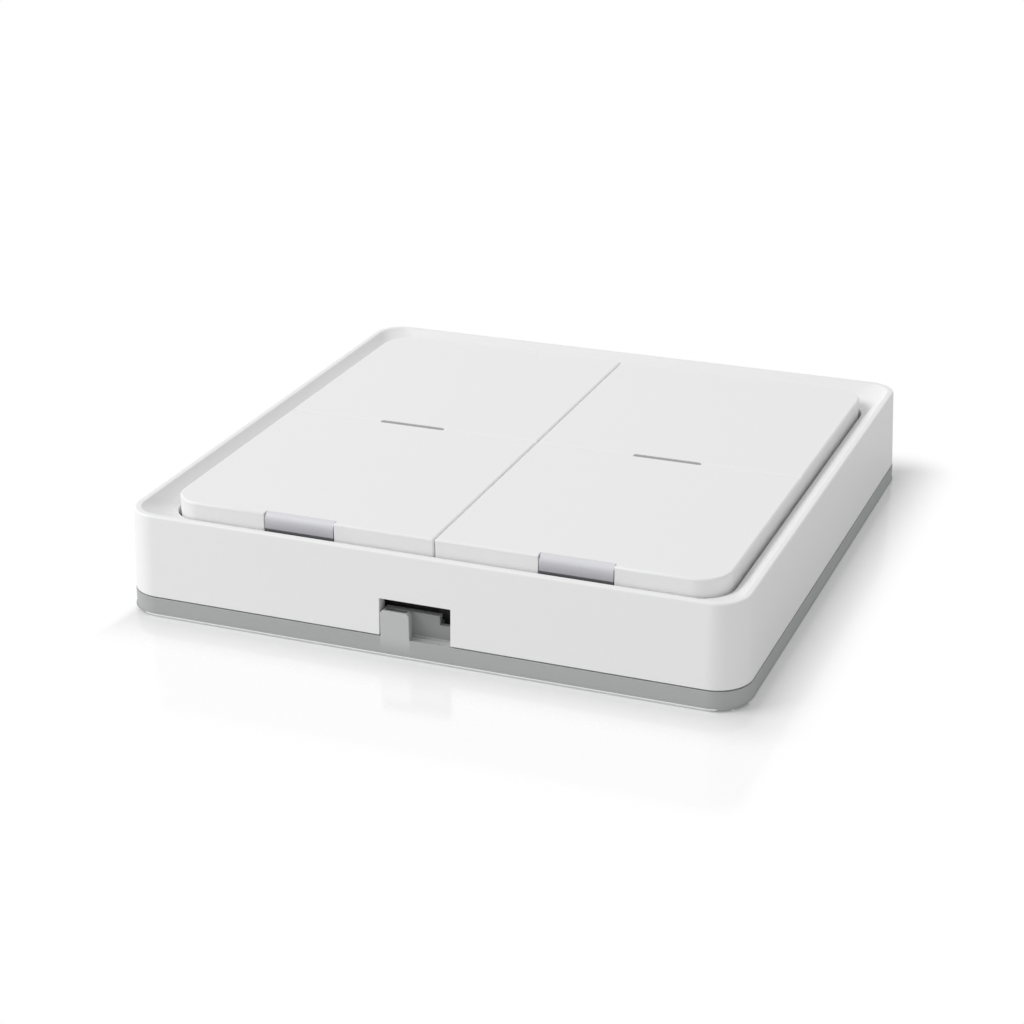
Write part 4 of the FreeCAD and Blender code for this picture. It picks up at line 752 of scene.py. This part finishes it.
# The front cover: a white polycarbonate frame. Its sides lean in a little to a narrow rounded rim,
# and a hollow slope leads down from the rim to the rockers. It snaps onto the wall plate and the
# chassis on catches inside its walls, and a notch in its near side lets a screwdriver pry it off.

WHITE = (0.885, 0.885, 0.885)
WHITE_DARKER = (0.870, 0.870, 0.870)
COVER_EDGE = 0.1 * MM
ROCKER_GAP = 0.4 * MM
CORNER_STEPS = 10
RIM_STEPS = 6
EASING_STEPS = 4
SLOPE_STEPS = 6
SLOPE_START = math.radians(44)

white_plastic = moulded_plastic("white_moulding", WHITE, WHITE_DARKER, roughness=0.38)
cover_low, cover_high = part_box("front_cover")
rocker_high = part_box("right_rocker")[1]
cover = Shape(
    "front_cover_frame", foot_half=cover_high.x, foot=cover_low.z, top=cover_high.z,
    corner=4.8 * MM, lean=0.45 * MM, rim_radius=0.3 * MM, rim_half=cover_high.x - 1.35 * MM,
    rim_corner=3.6 * MM, rim_easing=0.3 * MM, bend_half=cover_high.x - 2.45 * MM,
    bend_corner=4.1 * MM, bend_height=cover_high.z - 1.06 * MM,
    opening_half=rocker_high.x + ROCKER_GAP, opening_half_depth=rocker_high.y + ROCKER_GAP,
    opening_corner=4.7 * MM, opening_height=cover_high.z - 2.1 * MM, lip=1.4 * MM,
    cavity_half=cover_high.x - 1.9 * MM, cavity_corner=3.2 * MM,
    notch_left=-5.3 * MM, notch_right=4.5 * MM, notch_top=7.9 * MM, notch_cut=2.6 * MM,
    notch_inset=1.0 * MM, catch=8.3 * MM, catch_height=1.1 * MM, catch_depth=0.4 * MM,
    catch_place=22.0 * MM, plate_catch=4.3 * MM, chassis_catch=9.3 * MM)


def cover_rows(size):
    """The frame's section, upwards on the outside: half width, half depth, corner and height."""
    rows = [(size["foot_half"], size["foot_half"], size["corner"], size["foot"])]
    for step in range(RIM_STEPS + 1):
        angle = math.pi / 2 * step / RIM_STEPS
        inward = size["lean"] + size["rim_radius"] * (1 - math.cos(angle))
        rows.append((size["foot_half"] - inward, size["foot_half"] - inward,
                     size["corner"] - inward,
                     size["top"] - size["rim_radius"] * (1 - math.sin(angle))))
    for step in range(EASING_STEPS + 1):
        angle = SLOPE_START * step / EASING_STEPS
        outward = size["rim_easing"] * (math.tan(SLOPE_START / 2) - math.sin(angle))
        rows.append((size["rim_half"] + outward, size["rim_half"] + outward,
                     size["rim_corner"] + outward,
                     size["top"] - size["rim_easing"] * (1 - math.cos(angle))))
    start = rows[-1]
    bend = (size["bend_half"], size["bend_half"], size["bend_corner"], size["bend_height"])
    opening = (size["opening_half"], size["opening_half_depth"], size["opening_corner"],
               size["opening_height"])
    for step in range(1, SLOPE_STEPS + 1):
        share = step / SLOPE_STEPS
        rows.append(tuple(
            first * (1 - share) ** 2 + middle * (2 * share * (1 - share)) + last * share ** 2
            for first, middle, last in zip(start, bend, opening)))
    ceiling = size["opening_height"] - size["lip"]
    rows.append((*opening[:3], ceiling))
    rows.append((size["cavity_half"], size["cavity_half"], size["cavity_corner"], ceiling))
    rows.append((size["cavity_half"], size["cavity_half"], size["cavity_corner"], size["foot"]))
    rows.append(rows[0])
    return rows


def place_on_frame(row, column):
    """A point of the frame: round the corner that its column belongs to, out by its row's sizes."""
    quarter = (column + 0.5) // (CORNER_STEPS + 1)
    step = column - quarter * (CORNER_STEPS + 1)
    heading = (quarter + 0.5) * (math.pi / 2)
    turn = (quarter + step / CORNER_STEPS) * (math.pi / 2)
    width, depth, corner, height = (choose(cover, row, list(sizes)) for sizes in zip(*section))
    across = heading.maths("COSINE") * math.sqrt(2) * (width - corner)
    along = heading.maths("SINE") * math.sqrt(2) * (depth - corner)
    return across + turn.maths("COSINE") * corner, along + turn.maths("SINE") * corner, height


section = cover_rows(cover)
frame_skin = add_skin(cover, len(section), 4 * (CORNER_STEPS + 1) + 1, place_on_frame)
notch = cover.block(
    cover["notch_right"] - cover["notch_left"], cover["notch_cut"], cover["notch_top"] * 2,
    (cover["notch_right"] + cover["notch_left"]) / 2, cover["notch_inset"] - cover["foot_half"])
side_pocket = cover.block(cover["catch_depth"] * 2, cover["catch"], cover["catch_height"])
end_pocket = cover.block(cover["catch"], cover["catch_depth"] * 2, cover["catch_height"])
sideways, endways = each_way(cover)
pockets = cover.joined(
    cover.repeated(side_pocket, 4, sideways * cover["cavity_half"],
                   endways * cover["catch_place"], cover["plate_catch"]),
    cover.repeated(end_pocket, 4, sideways * cover["catch_place"],
                   endways * cover["cavity_half"], cover["chassis_catch"]))
cut_frame = cover.without(cover.without(frame_skin, notch), pockets)
front_cover = ease_edges(cover.build(cut_frame, white_plastic), edge=COVER_EDGE)
seat(front_cover, "white_plastic", "front_cover")

# The rockers: two white keys with a skirt, which tilt on pins in the chassis ears. A shallow groove
# runs across each face with a grey tick inlaid in it, and a pale light guide with a rolled edge
# fills a window in the near end and carries the lamp's light up to it.

TICK = (0.350, 0.350, 0.352)
TICK_DARKER = (0.330, 0.330, 0.332)
LENS_TOP = (0.73, 0.73, 0.765)
LENS_TOP_DARKER = (0.71, 0.71, 0.745)
# The foot tone and the shade line are painted shade on the light guide, below its lighter top tone.
LENS_FOOT_SHADE = (0.45, 0.45, 0.485)
LENS_SHADE = (0.12, 0.12, 0.13)
LENS_FALL = 2.1 * MM
LENS_FOOT_LINE = 2.08 * MM
LENS_GRAIN = 1 / (0.6 * MM)
GROOVE_REACH = 0.8 * MM
GROOVE_BOTTOM = 0.7 * MM
CORNER_REACH = 0.4 * MM
UPRIGHT_LENGTH = 2 * MM
BARELY_EASED = 0.25


def lens_shading(finish, tone):
    """Painted light: lighter towards the rolled edge, darker towards the foot, with a painted
    shadow line.
    """
    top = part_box("left_light_guide")[1].z
    height = finish.axis(2)
    painted_light_tone = finish.mix(finish.ramp(height, top - LENS_FALL, top), colour(LENS_FOOT_SHADE), tone)
    return finish.mix(height < top - LENS_FOOT_LINE, painted_light_tone, colour(LENS_SHADE))


tick_plastic = moulded_plastic("tick_moulding", TICK, TICK_DARKER, roughness=0.4)
# The guide's moulding carries that painted light and painted shade.
guide_plastic = moulded_plastic("guide_moulding", LENS_TOP, LENS_TOP_DARKER, roughness=0.3,
                                paint=lens_shading, grain=LENS_GRAIN, gloss=CLEAR_GLOSS)


def rocker_share(border):
    """A rocker's edges are barely eased, the groove's not at all and the split's corners fully."""
    middle = (border.verts[0].co + border.verts[1].co) / 2
    if abs(middle.y) < GROOVE_REACH and middle.z > rocker_high.z - GROOVE_BOTTOM:
        return 0.0
    at_split = abs(middle.x) < CORNER_REACH and abs(middle.y) > rocker_high.y - CORNER_REACH
    return 1.0 if at_split and border.calc_length() > UPRIGHT_LENGTH else BARELY_EASED


for side in ("left", "right"):
    eased_copy(f"{side}_rocker", "key", white_plastic, edge=0.4 * MM, share=rocker_share)
    eased_copy(f"{side}_tick_inlay", "strip", tick_plastic, edge=0.03 * MM)
    eased_copy(f"{side}_light_guide", "moulding", guide_plastic, edge=0.05 * MM)

# The studio: a pale glossy board under an even white sky, and one soft lamp up to the left. The
# board pales to white a little way off, and it is clear from below and under the plate, so that
# the back of the switch can be seen.

SKY = 0.57
FLOOR_REACH = 3.0
FLOOR_LEVEL = 1.0
BOARD_PALE = 0.83
BOARD_ROUGHNESS = 0.9
MIRROR = 0.11
MIRROR_ROUGHNESS = 0.12
FADE_START = -2.5 * MM
FADE_END = 9.5 * MM
LEFT_FADE = 2.5 * MM
CONTACT = 0.02 * MM
TOUCHING = CONTACT * 4
UNDER_INSET = 1.6 * MM


def ray(nodes, kind):
    """What Light Path says of the ray that meets the sky or the board."""
    return nodes.add("ShaderNodeLightPath", {}, {}, out=kind)


world = bpy.data.worlds.new("studio")
bpy.context.scene.world = world
world.use_nodes = True
world.node_tree.nodes.clear()
sky = Nodes(world.node_tree)
seen = ray(sky, "Is Camera Ray") + ray(sky, "Is Glossy Ray") + ray(sky, "Is Transmission Ray")
light = sky.add("ShaderNodeBackground", {}, {
    "Color": (1, 1, 1, 1), "Strength": SKY + (1.0 - SKY) * (seen > 0.5)})
sky.add("ShaderNodeOutputWorld", {}, {"Surface": light})

floor_mesh = bpy.data.meshes.new("floor")
floor_corners = [(x * FLOOR_REACH, y * FLOOR_REACH, -CONTACT)
                 for x, y in ((-1, -1), (1, -1), (1, 1), (-1, 1))]
floor_mesh.from_pydata(floor_corners, [], [range(4)])
floor = add_piece("floor", floor_mesh)
finish = Finish("floor_board")
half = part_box("wall_plate")[1].x
beside = [(abs(finish.axis(number)) - half).maths("MAXIMUM", 0.0) for number in (0, 1)]
away = (beside[0] * beside[0] + beside[1] * beside[1]).maths("SQRT")
fade = finish.ramp(away, FADE_START, FADE_END)
board = finish.add("ShaderNodeBsdfPrincipled", {}, {
    "Base Color": colour([BOARD_PALE] * 3), "Roughness": BOARD_ROUGHNESS,
    "Specular IOR Level": 0.0})
glow = finish.add("ShaderNodeEmission", {}, {"Color": (1, 1, 1, 1), "Strength": FLOOR_LEVEL})
lamp_side = finish.ramp(finish.axis(0) * -1 - half + LEFT_FADE, 0.0, LEFT_FADE)
lit = finish.add("ShaderNodeMixShader", {}, {
    0: ray(finish, "Is Camera Ray") * fade.maths("MAXIMUM", lamp_side), 1: board, 2: glow})
mirror = finish.add("ShaderNodeBsdfPrincipled", {}, {
    "Base Color": (1, 1, 1, 1), "Metallic": 1.0, "Roughness": MIRROR_ROUGHNESS})
both = finish.add("ShaderNodeMixShader", {}, {0: MIRROR, 1: lit, 2: mirror})
from_below = finish.add("ShaderNodeNewGeometry", {}, {}, out="Backfacing")
touching = ray(finish, "Ray Length") < TOUCHING
unseen = from_below + touching + (finish.reach() < half - UNDER_INSET)
clear = finish.add("ShaderNodeBsdfTransparent", {}, {})
one_sided = finish.add("ShaderNodeMixShader", {}, {0: unseen > 0.5, 1: both, 2: clear})
finish.add("ShaderNodeOutputMaterial", {}, {"Surface": one_sided})
floor_mesh.materials.append(finish.material)

KEY = Vector((-0.40, -0.17, 0.36)).normalized()
KEY_DISTANCE = 1.6
KEY_LEVEL = 0.564
KEY_SIZE = 0.8
lamp = bpy.data.lights.new("key_light", "AREA")
lamp.shape = "SQUARE"
lamp.size = KEY_SIZE
lamp.energy = KEY_LEVEL * math.pi ** 2 * KEY_DISTANCE ** 2
key = add_piece("key_light", lamp)
key.location = KEY * KEY_DISTANCE
key.rotation_euler = KEY.to_track_quat("Z", "Y").to_euler()

# The camera: a long lens a third of a metre away, up to the right of the near side. Its place was
# fitted to the straight edges of the square plate.

YAW = math.radians(21.545)
PITCH = math.radians(22.790)
ROLL = math.radians(-0.364)
DISTANCE = 0.329220
ASIDE = -0.003617
ABOVE = 0.003555
FOCAL_PIXELS = 2291.91
PICTURE = 1024
SENSOR = 36.0
back = Vector((math.sin(YAW) * math.cos(PITCH), -math.cos(YAW) * math.cos(PITCH), math.sin(PITCH)))
level = Vector((math.cos(YAW), math.sin(YAW), 0.0))
upright = back.cross(level)
right = math.cos(ROLL) * level + math.sin(ROLL) * upright
top = math.cos(ROLL) * upright - math.sin(ROLL) * level
lens = bpy.data.cameras.new("camera")
lens.sensor_width = SENSOR
lens.lens = FOCAL_PIXELS * SENSOR / PICTURE
camera = add_piece("camera", lens)
turn = Matrix((right, top, back)).transposed().to_4x4()
camera.matrix_world = Matrix.Translation(back * DISTANCE + right * ASIDE + top * ABOVE) @ turn
bpy.context.scene.camera = camera
bpy.context.scene.view_settings.view_transform = "Standard"
